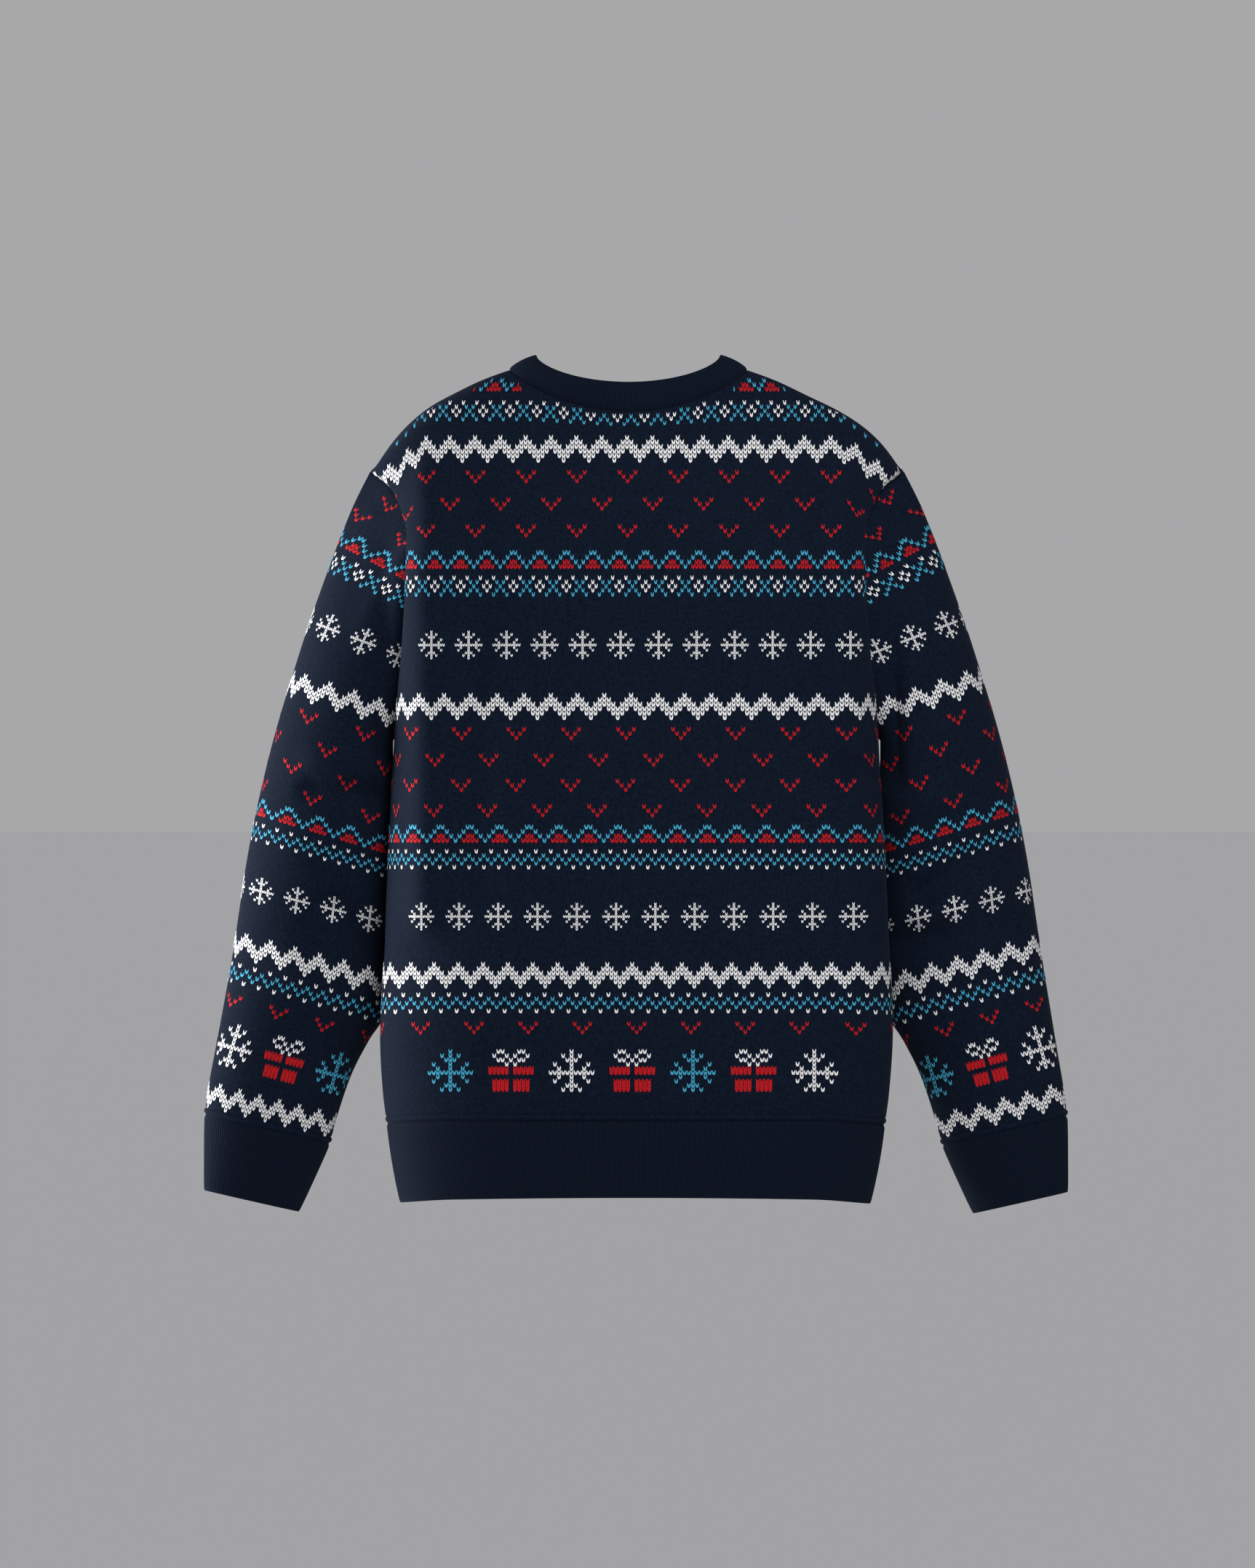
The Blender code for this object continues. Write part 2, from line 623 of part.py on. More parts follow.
make_panel("back_panel", back, -1, seams)
make_panel("front_panel", front, 1, seams)
make_sleeve("sleeve_left", left, -1, seams)
make_sleeve("sleeve_right", right, 1, seams)
make_band("cuff_left", cuff_l, -1, seams, rib_spots(cuff_l[0], PITCH_CUFF))
make_band("cuff_right", cuff_r, 1, seams, rib_spots(cuff_r[0], PITCH_CUFF))
make_band("collar_rib", collar, -1, seams, rib_spots(collar[0], PITCH_NECK))
make_band("hem_rib", hem, 1, seams, rib_spots(hem[0], PITCH_HEM))
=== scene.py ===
import bpy
import numpy as np
from math import pi
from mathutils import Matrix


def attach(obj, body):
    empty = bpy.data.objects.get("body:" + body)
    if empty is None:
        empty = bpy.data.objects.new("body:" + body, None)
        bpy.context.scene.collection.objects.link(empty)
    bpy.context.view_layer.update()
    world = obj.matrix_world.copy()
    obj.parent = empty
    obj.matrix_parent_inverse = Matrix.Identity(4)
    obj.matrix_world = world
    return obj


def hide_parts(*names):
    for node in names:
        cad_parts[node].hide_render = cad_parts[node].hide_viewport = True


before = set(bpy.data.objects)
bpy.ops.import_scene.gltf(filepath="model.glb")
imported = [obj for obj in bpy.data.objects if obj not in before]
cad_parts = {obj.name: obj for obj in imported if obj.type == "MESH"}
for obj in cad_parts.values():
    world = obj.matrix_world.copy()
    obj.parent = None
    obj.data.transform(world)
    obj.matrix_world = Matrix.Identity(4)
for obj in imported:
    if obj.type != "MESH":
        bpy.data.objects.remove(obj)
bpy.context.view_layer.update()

# ================================================================ back panel
# The back of a crew-neck sweatshirt: one piece of navy cotton fleece, brushed on both faces, cut
# from the hem seam to the shoulder seams and the neckline. It is sewn to the front at both sides
# and at the shoulders, and hangs from the shoulders filled out as if worn.

HEM_Z = -632.2
NECK_X = 101.0
TIP_X = 224.0
TIP_Y = -2.0
NECK_BACK_DROP = 34.5
NECK_BACK_CURVE = 0.88
NECK_FRONT_DROP = 92.0
NECK_FRONT_CURVE = 0.62
BOXY = 0.12
ROUNDING_BACK = 160.0
ROUNDING_FRONT = 240.0
ROUNDING_TIP = 75.0
SHOULDER_ROLL = 14.0
UNDERARM_Z = -305.0
ARMHOLE_MIDDLE = (209.0, -195.0)
TRUNK_HALF = (207.0, 112.0)

# Body sections, in millimetres: height, widest half width and its depth, depth of the back, angle
# of the side seam past the centre back, depth of the front.
TORSO = (
    # z,     fold_x, fold_y, back_y, end_deg, front_y
    (-635.0, 207.0, 24.0, 112.0, 94.0, -110.0),
    (-607.0, 211.0, 27.0, 119.0, 96.0, -120.0),
    (-551.0, 214.5, 30.0, 124.0, 98.0, -129.0),
    (-479.0, 212.0, 31.0, 125.0, 100.0, -133.0),
    (-374.0, 207.0, 31.0, 123.0, 103.0, -136.0),
    (-305.0, 202.0, 38.0, 122.0, 105.0, -137.0),
    (-290.0, 201.0, 49.0, 122.0, 104.5, -137.0),
    (-271.0, 199.0, 58.0, 122.0, 104.0, -136.0),
    (-230.0, 193.0, 68.0, 122.0, 101.0, -133.0),
    (-179.0, 189.0, 75.0, 121.0, 98.0, -128.0),
    (-150.0, 188.5, 69.0, 119.0, 93.0, -123.0),
    (-137.0, 188.5, 60.0, 117.0, 90.0, -121.0),
    (-111.0, 199.0, 36.0, 113.0, 90.0, -116.0),
    (-97.0, 209.0, 20.0, 110.0, 90.0, -113.0),
    (-84.0, 224.0, -2.0, 107.0, 90.0, -110.0),
    (0.0, 224.0, -2.0, 90.0, 90.0, -95.0),
)
MIDDLE = (
    # z,     half_x, back_y, front_y
    (-635.0, 207.0, 24.0, 16.0),
    (-551.0, 214.5, 30.0, 14.0),
    (-479.0, 212.0, 31.0, 12.0),
    (-374.0, 207.0, 31.0, 8.0),
    (-305.0, 202.0, 40.0, 0.0),
    (-230.0, 194.0, 68.0, -40.0),
    (-179.0, 191.0, 74.0, -54.0),
    (-137.0, 196.0, 62.0, -50.0),
    (-110.0, 207.0, 52.0, -42.0),
    (-84.0, 218.0, 40.0, -34.0),
    (-50.0, 223.0, 40.0, -30.0),
    (0.0, 224.0, 40.0, -30.0),
)
ARMHOLE_FRONT = (
    # z,     step_x, step_y
    (-305.0, 0.0, 0.0),
    (-298.0, 0.5, -34.0),
    (-286.0, 0.5, -62.0),
    (-260.0, 1.0, -98.0),
    (-220.0, 1.0, -122.0),
    (-180.0, 0.5, -133.0),
    (-137.0, 3.0, -116.0),
    (-111.0, 2.5, -74.0),
    (-97.0, 1.5, -42.0),
    (-84.0, 0.0, 0.0),
)
SHOULDER = (
    # x,     z
    (0.0, 22.0),
    (55.0, 15.0),
    (101.0, 0.0),
    (124.0, -8.5),
    (147.0, -19.5),
    (172.0, -32.5),
    (190.0, -45.0),
    (205.0, -59.0),
    (216.0, -72.0),
    (224.0, -84.0),
)
# Heights on the armhole edge, evenly numbered from the underarm to the shoulder tip.
ARMHOLE_EDGE = (
    # step, z
    (0.0, -305.0),
    (1.0, -298.0),
    (2.0, -282.0),
    (3.0, -260.0),
    (4.0, -236.0),
    (5.0, -212.0),
    (6.0, -188.0),
    (7.0, -165.0),
    (8.0, -145.0),
    (9.0, -128.0),
    (10.0, -112.0),
    (11.0, -98.0),
    (12.0, -89.0),
    (13.0, -84.0),
)
EDGE_STEPS = 13
# Soft folds as lines seen from behind; plus x is the wearer's left.
FOLDS = (
    # piece,   x0,     z0,     x1,     z1,    half_width, rise
    ("back", 174.0, -80.0, 178.0, -470.0, 20.0, 11.0),
    ("back", -172.0, -80.0, -174.0, -330.0, 20.0, 12.0),
    ("back", -174.0, -350.0, -178.0, -560.0, 20.0, 4.0),
    ("back", 128.0, -90.0, 136.0, -460.0, 18.0, -3.5),
    ("back", -126.0, -90.0, -128.0, -340.0, 18.0, -3.5),
    ("back", -82.0, -400.0, -86.0, -620.0, 15.0, 2.6),
    ("back", -8.0, -500.0, -12.0, -625.0, 13.0, 2.2),
    ("back", 50.0, -555.0, 47.0, -625.0, 12.0, 2.4),
    ("back", 118.0, -560.0, 112.0, -620.0, 13.0, -2.6),
    ("back", -48.0, -585.0, -58.0, -622.0, 10.0, -2.6),
    ("left", 210.0, -362.0, 282.0, -352.0, 10.0, -6.0),
    ("left", 216.0, -335.0, 280.0, -328.0, 12.0, 3.0),
    ("left", 218.0, -498.0, 262.0, -446.0, 14.0, -7.0),
    ("left", 232.0, -540.0, 300.0, -490.0, 15.0, 3.5),
    ("left", 209.0, -140.0, 214.0, -330.0, 9.0, -5.0),
    ("right", -213.0, -120.0, -213.0, -350.0, 11.0, -9.0),
    ("right", -232.0, -446.0, -288.0, -406.0, 11.0, -7.0),
    ("right", -216.0, -486.0, -262.0, -474.0, 11.0, -6.0),
    ("right", -292.0, -452.0, -326.0, -474.0, 11.0, -4.0),
    ("right", -225.0, -380.0, -262.0, -352.0, 12.0, 4.0),
    ("right", -236.0, -466.0, -300.0, -436.0, 11.0, 3.5),
)
SEAM_DEPTH = 1.0
SEAM_WIDTH = 1.7
PUFF = 1.1
PUFF_WIDTH = 5.6
GROOVE = 0.6
GROOVE_WIDTH = 0.8
# How far the garment hangs out of true, across and up: at the collar, both sides and each wrist.
COLLAR_SHIFT = 4.0
SIDE_SHIFT = -3.5
LEFT_WRIST_SHIFT = (3.3, -2.5)
RIGHT_WRIST_SHIFT = (-1.5, -4.0)
# Rows close together over the seam at the bottom, then even up to the underarm; points round the
# back and the front of the neck.
SEAM_ROWS = (0.0, 0.5, 1.0, 1.6, 2.3, 3.0, 3.7, 4.3, 4.8, 5.2, 5.6, 6.0, 6.5, 7.5, 10.0, 14.5)
BODY_ROWS = (-614.5, -306.5, 78)
NECK_POINTS = 61


def smooth(table, column, at):
    """One column of a table at the places asked for, by a curve with no overshoot."""
    rows = np.array(table, float)
    xs = rows[:, 0]
    ys = rows[:, column]
    step = np.diff(xs)
    slope = np.diff(ys) / step
    tangent = np.zeros(len(xs))
    tangent[0] = slope[0]
    tangent[-1] = slope[-1]
    same = slope[1:] * slope[:-1] > 0
    mean = 2 * slope[1:] * slope[:-1] / np.where(same, slope[1:] + slope[:-1], 1.0)
    tangent[1:-1] = np.where(same, mean, 0.0)
    at = np.clip(at, xs[0], xs[-1])
    i = np.clip(np.searchsorted(xs, at) - 1, 0, len(step) - 1)
    s = (at - xs[i]) / step[i]
    low = (1 + 2 * s) * (1 - s) ** 2 * ys[i] + s * (1 - s) ** 2 * step[i] * tangent[i]
    high = s * s * (3 - 2 * s) * ys[i + 1] + s * s * (s - 1) * step[i] * tangent[i + 1]
    return low + high


def ease(value):
    """0 to 1 with soft ends."""
    value = np.clip(value, 0.0, 1.0)
    return value * value * (3 - 2 * value)


def unit(v):
    return v / np.maximum(np.linalg.norm(v, axis=-1, keepdims=True), 1e-9)


def lean(points):
    """The slight unevenness of the hanging garment: collar to one side, sleeves to the other."""
    out = np.array(points, float)
    side = ease((np.abs(out[..., 0]) - 150.0) / 70.0)
    high = ease((out[..., 2] + 110.0) / 110.0)
    wrist = side * ease((-480.0 - out[..., 2]) / 140.0)
    right = out[..., 0] < 0
    across = np.where(right, RIGHT_WRIST_SHIFT[0], LEFT_WRIST_SHIFT[0])
    up = np.where(right, RIGHT_WRIST_SHIFT[1], LEFT_WRIST_SHIFT[1])
    out[..., 0] += COLLAR_SHIFT * high * (1 - side) + SIDE_SHIFT * side + wrist * across
    out[..., 2] += wrist * up
    return out


def panel(side, w, rise):
    """Points of the front or back; w runs across from -1 to 1, rise from the hem seam to the top."""
    top_x = TIP_X * np.sin(w * pi / 2)
    top_z = smooth(SHOULDER, 1, np.abs(top_x))
    top_y = TIP_Y * np.clip((np.abs(top_x) - NECK_X) / (TIP_X - NECK_X), 0.0, 1.0)
    arc = np.clip(1 - (top_x / NECK_X) ** 2, 0.0, 1.0)
    if side == "back":
        neckline = -NECK_BACK_DROP * arc ** NECK_BACK_CURVE
    else:
        neckline = -NECK_FRONT_DROP * arc ** NECK_FRONT_CURVE
    edge_z = np.where(np.abs(top_x) < NECK_X, neckline, top_z)
    z = HEM_Z + (edge_z - HEM_Z) * rise
    fold_x = smooth(TORSO, 1, z)
    fold_y = smooth(TORSO, 2, z)
    back_y = smooth(TORSO, 3, z)
    end = np.radians(smooth(TORSO, 4, z))
    inner = 1 - np.abs(w) ** 5
    mid_x = smooth(MIDDLE, 1, z)
    if side == "back":
        turn = w * end
        mid_y = smooth(MIDDLE, 2, z)
        depth = back_y
    else:
        turn = w * pi / 2
        mid_y = smooth(MIDDLE, 3, z)
        depth = smooth(TORSO, 5, z)
        seam_x = fold_x * np.sin(end)
        seam_y = fold_y + (back_y - fold_y) * np.cos(end) * (1 + BOXY * np.sin(end) ** 2)
        fold_x = seam_x + smooth(ARMHOLE_FRONT, 1, z)
        fold_y = seam_y + smooth(ARMHOLE_FRONT, 2, z)
    half_x = fold_x + (mid_x - fold_x) * inner
    half_y = fold_y + (mid_y - fold_y) * inner
    x = half_x * np.sin(turn)
    y = half_y + (depth - half_y) * np.cos(turn) * (1 + BOXY * np.sin(turn) ** 2)
    below = top_z - z
    rounding = ROUNDING_BACK if side == "back" else ROUNDING_FRONT
    reach = rounding + (ROUNDING_TIP - rounding) * w ** 2
    over = np.sin(pi / 2 * np.clip(below / reach, 0.0, 1.0))
    over = np.where(below < 0.001, 0.0, over ** (1 - np.abs(w) ** 3))
    roll = SHOULDER_ROLL * np.sqrt(1 - np.clip(1 - below / SHOULDER_ROLL, 0.0, 1.0) ** 2)
    roll = roll * (1 - over) * ease(np.abs(w) / 0.5) * (1 - np.abs(w) ** 4)
    y = top_y + (y - top_y) * over + (roll if side == "back" else -roll)
    return np.stack([x, y, z], axis=-1)


def fold_rise(piece, x, z):
    """Height of all the folds of one piece at points seen from behind."""
    total = np.zeros(np.shape(x))
    for name, x0, z0, x1, z1, half_width, rise in FOLDS:
        if name != piece:
            continue
        length = np.hypot(x1 - x0, z1 - z0)
        along = ((x - x0) * (x1 - x0) + (z - z0) * (z1 - z0)) / length
        across = ((x - x0) * (z1 - z0) - (z - z0) * (x1 - x0)) / length
        start = ease((along + half_width) / (2 * half_width))
        finish = ease((length + half_width - along) / (2 * half_width))
        total += rise * np.exp(-(across / half_width) ** 2) * start * finish
    return total


def grid_normals(grid, sign, closed):
    """Outward normals of a grid of points; closed if its columns run right round a tube."""
    if closed:
        across = np.roll(grid, -1, axis=1) - np.roll(grid, 1, axis=1)
    else:
        across = np.gradient(grid, axis=1)
    return sign * unit(np.cross(across, np.gradient(grid, axis=0)))


def cloth_distance(grid, axis):
    """Distance along the cloth from the first row or column of a grid."""
    step = np.linalg.norm(np.diff(grid, axis=axis), axis=-1)
    start = np.zeros_like(np.take(step, [0], axis=axis))
    return np.concatenate([start, np.cumsum(step, axis=axis)], axis=axis)


def armhole_rows():
    """Steps along the armhole edge, closest together at the underarm and the shoulder tip."""
    low = [0.0, 0.03, 0.06, 0.1, 0.16, 0.24, 0.34]
    high = [12.8, 12.88, 12.93, 12.97, 13.0]
    return np.concatenate([low, np.linspace(0.47, 12.65, 70), high])


def puffed(distance):
    """The padded ridge of a seam turned in over a rib, with the stitched groove above it."""
    ridge = np.sin(pi * np.clip(distance / PUFF_WIDTH, 0.0, 1.0)) ** 0.8
    return PUFF * ridge - GROOVE * np.exp(-((distance - PUFF_WIDTH) / GROOVE_WIDTH) ** 2)


def near_seam(distance):
    """How far a point is drawn into the seam beside it, from 1 at the seam to 0."""
    return np.exp(-(distance / SEAM_WIDTH) ** 2)[..., None]


def inward(points):
    """Directions from the armhole, side and hem seams into the garment."""
    x, y, z = np.moveaxis(points, -1, 0)
    arm_x, arm_z = ARMHOLE_MIDDLE
    arm = unit(np.stack([np.sign(x) * arm_x - x, -y, arm_z - z], axis=-1))
    trunk = unit(np.stack([-x / TRUNK_HALF[0] ** 2, -y / TRUNK_HALF[1] ** 2, 0 * x], axis=-1))
    low = ease((UNDERARM_Z - z) / 12.0)[..., None]
    return unit(arm * (1 - low) + trunk * low)


def inward_top(points):
    """Directions from the neckline and the shoulder seams into the garment."""
    x, y, z = np.moveaxis(points, -1, 0)
    neck = unit(np.stack([-x, -5.0 - y, -130.0 - z], axis=-1))
    outer = ease((np.abs(x) - NECK_X) / 16.0)[..., None]
    return unit(neck * (1 - outer) + np.array([0.0, 0.0, -1.0]) * outer)


def neck_places():
    """Places of the neck points across the top of a panel."""
    angles = np.radians(np.linspace(-90.0, 90.0, NECK_POINTS))
    return 2 / pi * np.arcsin(NECK_X / TIP_X * np.sin(angles))


def panel_cloth(side, sign):
    """The whole surface of a panel, with its folds, seams and the padded ridge over the hem."""
    neck = neck_places()
    half = np.concatenate([np.linspace(neck[-1], 0.984, 44), [0.989, 0.993, 0.996, 0.998, 1.0]])
    w = np.concatenate([-half[::-1], neck[1:-1], half])
    low = np.concatenate([HEM_Z + np.array(SEAM_ROWS), np.linspace(*BODY_ROWS)])
    edge = np.concatenate([low, smooth(ARMHOLE_EDGE, 1, armhole_rows())])
    rise = (edge - HEM_Z) / (edge[-1] - HEM_Z)
    ww, rr = np.meshgrid(w, rise)
    base = panel(side, ww, rr)
    normal = grid_normals(base, sign, False)
    fade = ease((1 - np.abs(ww)) / 0.12) * ease(rr / 0.06) * ease((1 - rr) / 0.08)
    lift = fold_rise(side, base[..., 0], base[..., 2]) * fade
    from_hem = cloth_distance(base, 0)
    from_top = cloth_distance(base[::-1], 0)[::-1]
    across = cloth_distance(base, 1)
    from_side = np.minimum(across, across[:, -1:] - across)
    at_side = near_seam(from_side)
    lift = lift + puffed(from_hem) * (1 - at_side[..., 0])
    outward = unit(normal + np.array([0.0, -sign, 0.0]))
    points = base + outward * lift[..., None]
    ends = near_seam(from_top) * inward_top(base) + near_seam(from_hem) * inward(base)
    points = points + SEAM_DEPTH * (at_side * inward(base) + (1 - at_side) * ends)
    places = np.stack([across - across[:, [len(w) // 2]], from_hem], axis=-1)
    return points, places


def add_cloth(name, grid, sign, closed, places, material, looped=False):
    """A cloth object from a grid of points, with a UV map laid out along the cloth."""
    rows, columns = grid.shape[:2]
    deep = rows if looped else rows - 1
    wide = columns if closed else columns - 1
    i, j = np.meshgrid(np.arange(deep), np.arange(wide), indexing="ij")
    k = (j + 1) % columns
    n = (i + 1) % rows
    corners = np.stack([i * columns + j, i * columns + k, n * columns + k, n * columns + j], -1)
    spots = np.stack([places[i, j], places[i, j + 1], places[i + 1, j + 1], places[i + 1, j]], -2)
    corners = corners.reshape(-1, 4)
    spots = spots.reshape(-1, 4, 2)
    if sign < 0:
        corners = corners[:, ::-1]
        spots = spots[:, ::-1]
    mesh = bpy.data.meshes.new(name)
    mesh.from_pydata((lean(grid.reshape(-1, 3)) * 0.001).tolist(), [], corners.tolist())
    layer = mesh.uv_layers.new(name="Cloth")
    layer.uv.foreach_set("vector", (spots * 0.001).astype(np.float32).ravel())
    mesh.polygons.foreach_set("use_smooth", [True] * len(mesh.polygons))
    mesh.materials.append(material)
    item = bpy.data.objects.new(name, mesh)
    bpy.context.scene.collection.objects.link(item)
    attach(item, "root")
    return item


def tone(tree, source, low, high, dark, light):
    """A colour between dark and light as the source value goes from low to high."""
    ramp = tree.nodes.new("ShaderNodeMapRange")
    ramp.inputs["From Min"].default_value = low
    ramp.inputs["From Max"].default_value = high
    tree.links.new(source, ramp.inputs["Value"])
    mix = tree.nodes.new("ShaderNodeMix")
    mix.data_type = "RGBA"
    mix.inputs["A"].default_value = dark
    mix.inputs["B"].default_value = light
    tree.links.new(ramp.outputs["Result"], mix.inputs["Factor"])
    return mix.outputs["Result"]


def grain(tree, scale, detail):
    """Noise in the cloth's own space; scale is in grains to the metre."""
    where = tree.nodes.new("ShaderNodeTexCoord")
    noise = tree.nodes.new("ShaderNodeTexNoise")
    noise.inputs["Scale"].default_value = scale
    noise.inputs["Detail"].default_value = detail
    noise.inputs["Roughness"].default_value = 0.75
    tree.links.new(where.outputs["Object"], noise.inputs["Vector"])
    return noise.outputs["Fac"]


def matt(shader, roughness):
    """The dull face of cotton cloth, with a faint sheen of loose fibres at its edges."""
    shader.inputs["Roughness"].default_value = roughness
    shader.inputs["Specular IOR Level"].default_value = 0.04
    shader.inputs["Sheen Weight"].default_value = 0.02
    shader.inputs["Sheen Roughness"].default_value = 0.45
    shader.inputs["Sheen Tint"].default_value = (0.35, 0.45, 0.7, 1.0)


def brushed(name, dark, light):
    """Brushed fleece: short fibres lying every way, finely speckled and uneven."""
    material = bpy.data.materials.new(name)
    material.use_nodes = True
    tree = material.node_tree
    shader = tree.nodes["Principled BSDF"]
    fibres = grain(tree, 420.0, 4.0)
    tree.links.new(tone(tree, fibres, 0.25, 0.75, dark, light), shader.inputs["Base Color"])
    bump = tree.nodes.new("ShaderNodeBump")
    bump.inputs["Strength"].default_value = 0.45
    bump.inputs["Distance"].default_value = 0.0006
    tree.links.new(fibres, bump.inputs["Height"])
    tree.links.new(bump.outputs["Normal"], shader.inputs["Normal"])
    matt(shader, 0.95)
    return material


NAVY_DARK = (0.0014, 0.0028, 0.0068, 1.0)
NAVY_LIGHT = (0.0066, 0.0118, 0.0255, 1.0)
fleece = brushed("navy_fleece", NAVY_DARK, NAVY_LIGHT)

back, back_places = panel_cloth("back", -1)
back_panel = add_cloth("back_panel_cloth", back, -1, False, back_places, fleece)
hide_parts("back_panel")

# ================================================================ print of the back
# A winter pattern screen-printed on the finished fleece in white, light blue and red ink. Each
# knit stitch is drawn as a V of two short leaf-shaped strokes, so it passes for jacquard knit.

CHARTS = {
    "zigzag": (
        "...W..",
        "..WWW.",
        ".WWWWW",
        "WWW.WW",
        "WW...W",
        "W.....",
    ),
    "vee": (
        "R...R",
        ".R.R.",
        "..R..",
    ),
    "chevron": (
        "..CC...",
        ".C..C..",
        "C.RR.C.",
        ".RRRR.C",
    ),
    "lattice": (
        "..W...W.",
        ".C..W..C",
        "C..W.W..",
        ".C..W..C",
        "..C...C.",
    ),
    "dots": (
        "..W.",
        "C...",
        ".C.C",
        "..C.",
        "W...",
    ),
    "flake": (
        ".....W.....",
        "...W.W.W...",
        "....WWW....",
        ".W...W...W.",
        "..W..W..W..",
        "WWWWWWWWWWW",
        "..W..W..W..",
        ".W...W...W.",
        "....WWW....",
        "...W.W.W...",
        ".....W.....",
    ),
    "gift": (
        "..WW...WW..",
        ".W..W.W..W.",
        "..WW.W.WW..",
        "....W.W....",
        "RRRRR.RRRRR",
        "RRRRR.RRRRR",
        "...........",
        ".RRRR.RRRR.",
        ".RRRR.RRRR.",
        ".RRRR.RRRR.",
    ),
}
# Bands from the shoulders to the hem: chart, height of its middle, width and height of a stitch,
# distance from one repeat to the next, and where the first one is off the centre line.
BANDS = (
    # chart,     middle, wide, high, repeat, start
    ("chevron", -12.5, 3.11, 3.70, 21.80, 8.0),
    ("lattice", -36.5, 2.82, 3.50, 22.60, 8.7),
    ("zigzag", -67.3, 3.55, 3.84, 21.30, 0.6),
    ("vee", -90.7, 3.30, 3.60, 42.60, 0.1),
    ("vee", -113.8, 3.30, 3.60, 42.60, -21.0),
    ("vee", -136.4, 3.30, 3.60, 42.60, 0.2),
    ("chevron", -160.5, 3.17, 3.84, 22.20, 8.7),
    ("lattice", -182.8, 2.77, 3.50, 22.20, 7.1),
    ("flake", -232.2, 2.14, 2.19, 31.90, 6.0),
    ("zigzag", -283.8, 3.74, 3.75, 22.45, -2.8),
    ("vee", -306.5, 3.30, 3.60, 46.00, 1.5),
    ("vee", -328.8, 3.30, 3.60, 46.00, -20.9),
    ("vee", -350.0, 3.30, 3.60, 46.00, 3.5),
    ("vee", -371.3, 3.30, 3.60, 46.00, -17.6),
    ("chevron", -390.7, 3.56, 3.75, 24.90, 13.4),
    ("dots", -412.2, 3.12, 3.32, 12.50, 6.3),
    ("flake", -460.2, 2.10, 2.12, 32.95, 14.2),
    ("zigzag", -509.5, 3.48, 3.65, 20.85, 0.7),
    ("dots", -532.7, 3.35, 3.43, 13.40, 7.2),
    ("vee", -553.6, 3.30, 3.45, 45.50, -3.1),
)
MOTIF_ROW = (-589.5, 50.9, 3.5, 0.6)
MOTIF_HIGH = 3.55
# How far the rows of small snowflakes go from the centre line; all the others reach the seams.
PRINT_REACH = 320.0
REACH = {"flake": 190.0}
# Half of a stitch in the print: a bar that is thick at its foot, where it meets the other half.
LEAF = (
    # along, across
    (-1.0, 0.0),
    (-0.6, 0.9),
    (-0.1, 0.95),
    (0.55, 0.55),
    (1.0, 0.0),
    (0.55, -0.55),
    (-0.1, -0.95),
    (-0.6, -0.9),
    (-0.1, 0.0),
)
LEAF_FOOT = (0.07, -0.60)
LEAF_HEAD = (0.42, 0.60)
LEAF_WIDTH = 0.19
INK_HEIGHT = 0.22
INK_CROWN = 0.12
# The flat print is measured as seen from behind, but along the cloth where it turns further away.
TURNED_AWAY = 0.8
NET = 2.0


def spread(chart, middle, wide, high, repeat, start, reach):
    """Stitches of one band as rows of letter, u, v, width and height."""
    made = []
    count = int(reach / repeat) + 2
    rows = CHARTS[chart]
    for n in range(-count, count + 1):
        if abs(start + n * repeat) > reach:
            continue
        for j, row in enumerate(rows):
            for i, letter in enumerate(row):
                if letter == ".":
                    continue
                u = start + n * repeat + (i - len(row) // 2) * wide
                v = middle + ((len(rows) - 1) / 2 - j) * high
                made.append((letter, u, v, wide, high))
    return made


def motifs(middle, repeat, wide, start, places):
    """The row of large gifts and snowflakes, the snowflakes white and light blue by turns.

    The snowflakes go without their lowest stitch, and the red of the gifts is printed solid.
    """
    made = []
    for n in places:
        rows = CHARTS["flake"][:-1] if n % 2 else CHARTS["gift"]
        for j, row in enumerate(rows):
            for i, letter in enumerate(row):
                if letter == ".":
                    continue
                if n % 4 == 3:
                    letter = "C"
                u = start + n * repeat + (i - 5) * wide
                v = middle + (4.5 - j) * MOTIF_HIGH
                made.append((letter, u, v, wide, MOTIF_HIGH))
                if letter == "R" and j + 1 < len(rows) and rows[j + 1][i] == "R":
                    made.append((letter, u, v - MOTIF_HIGH / 2, wide, MOTIF_HIGH))
    return made


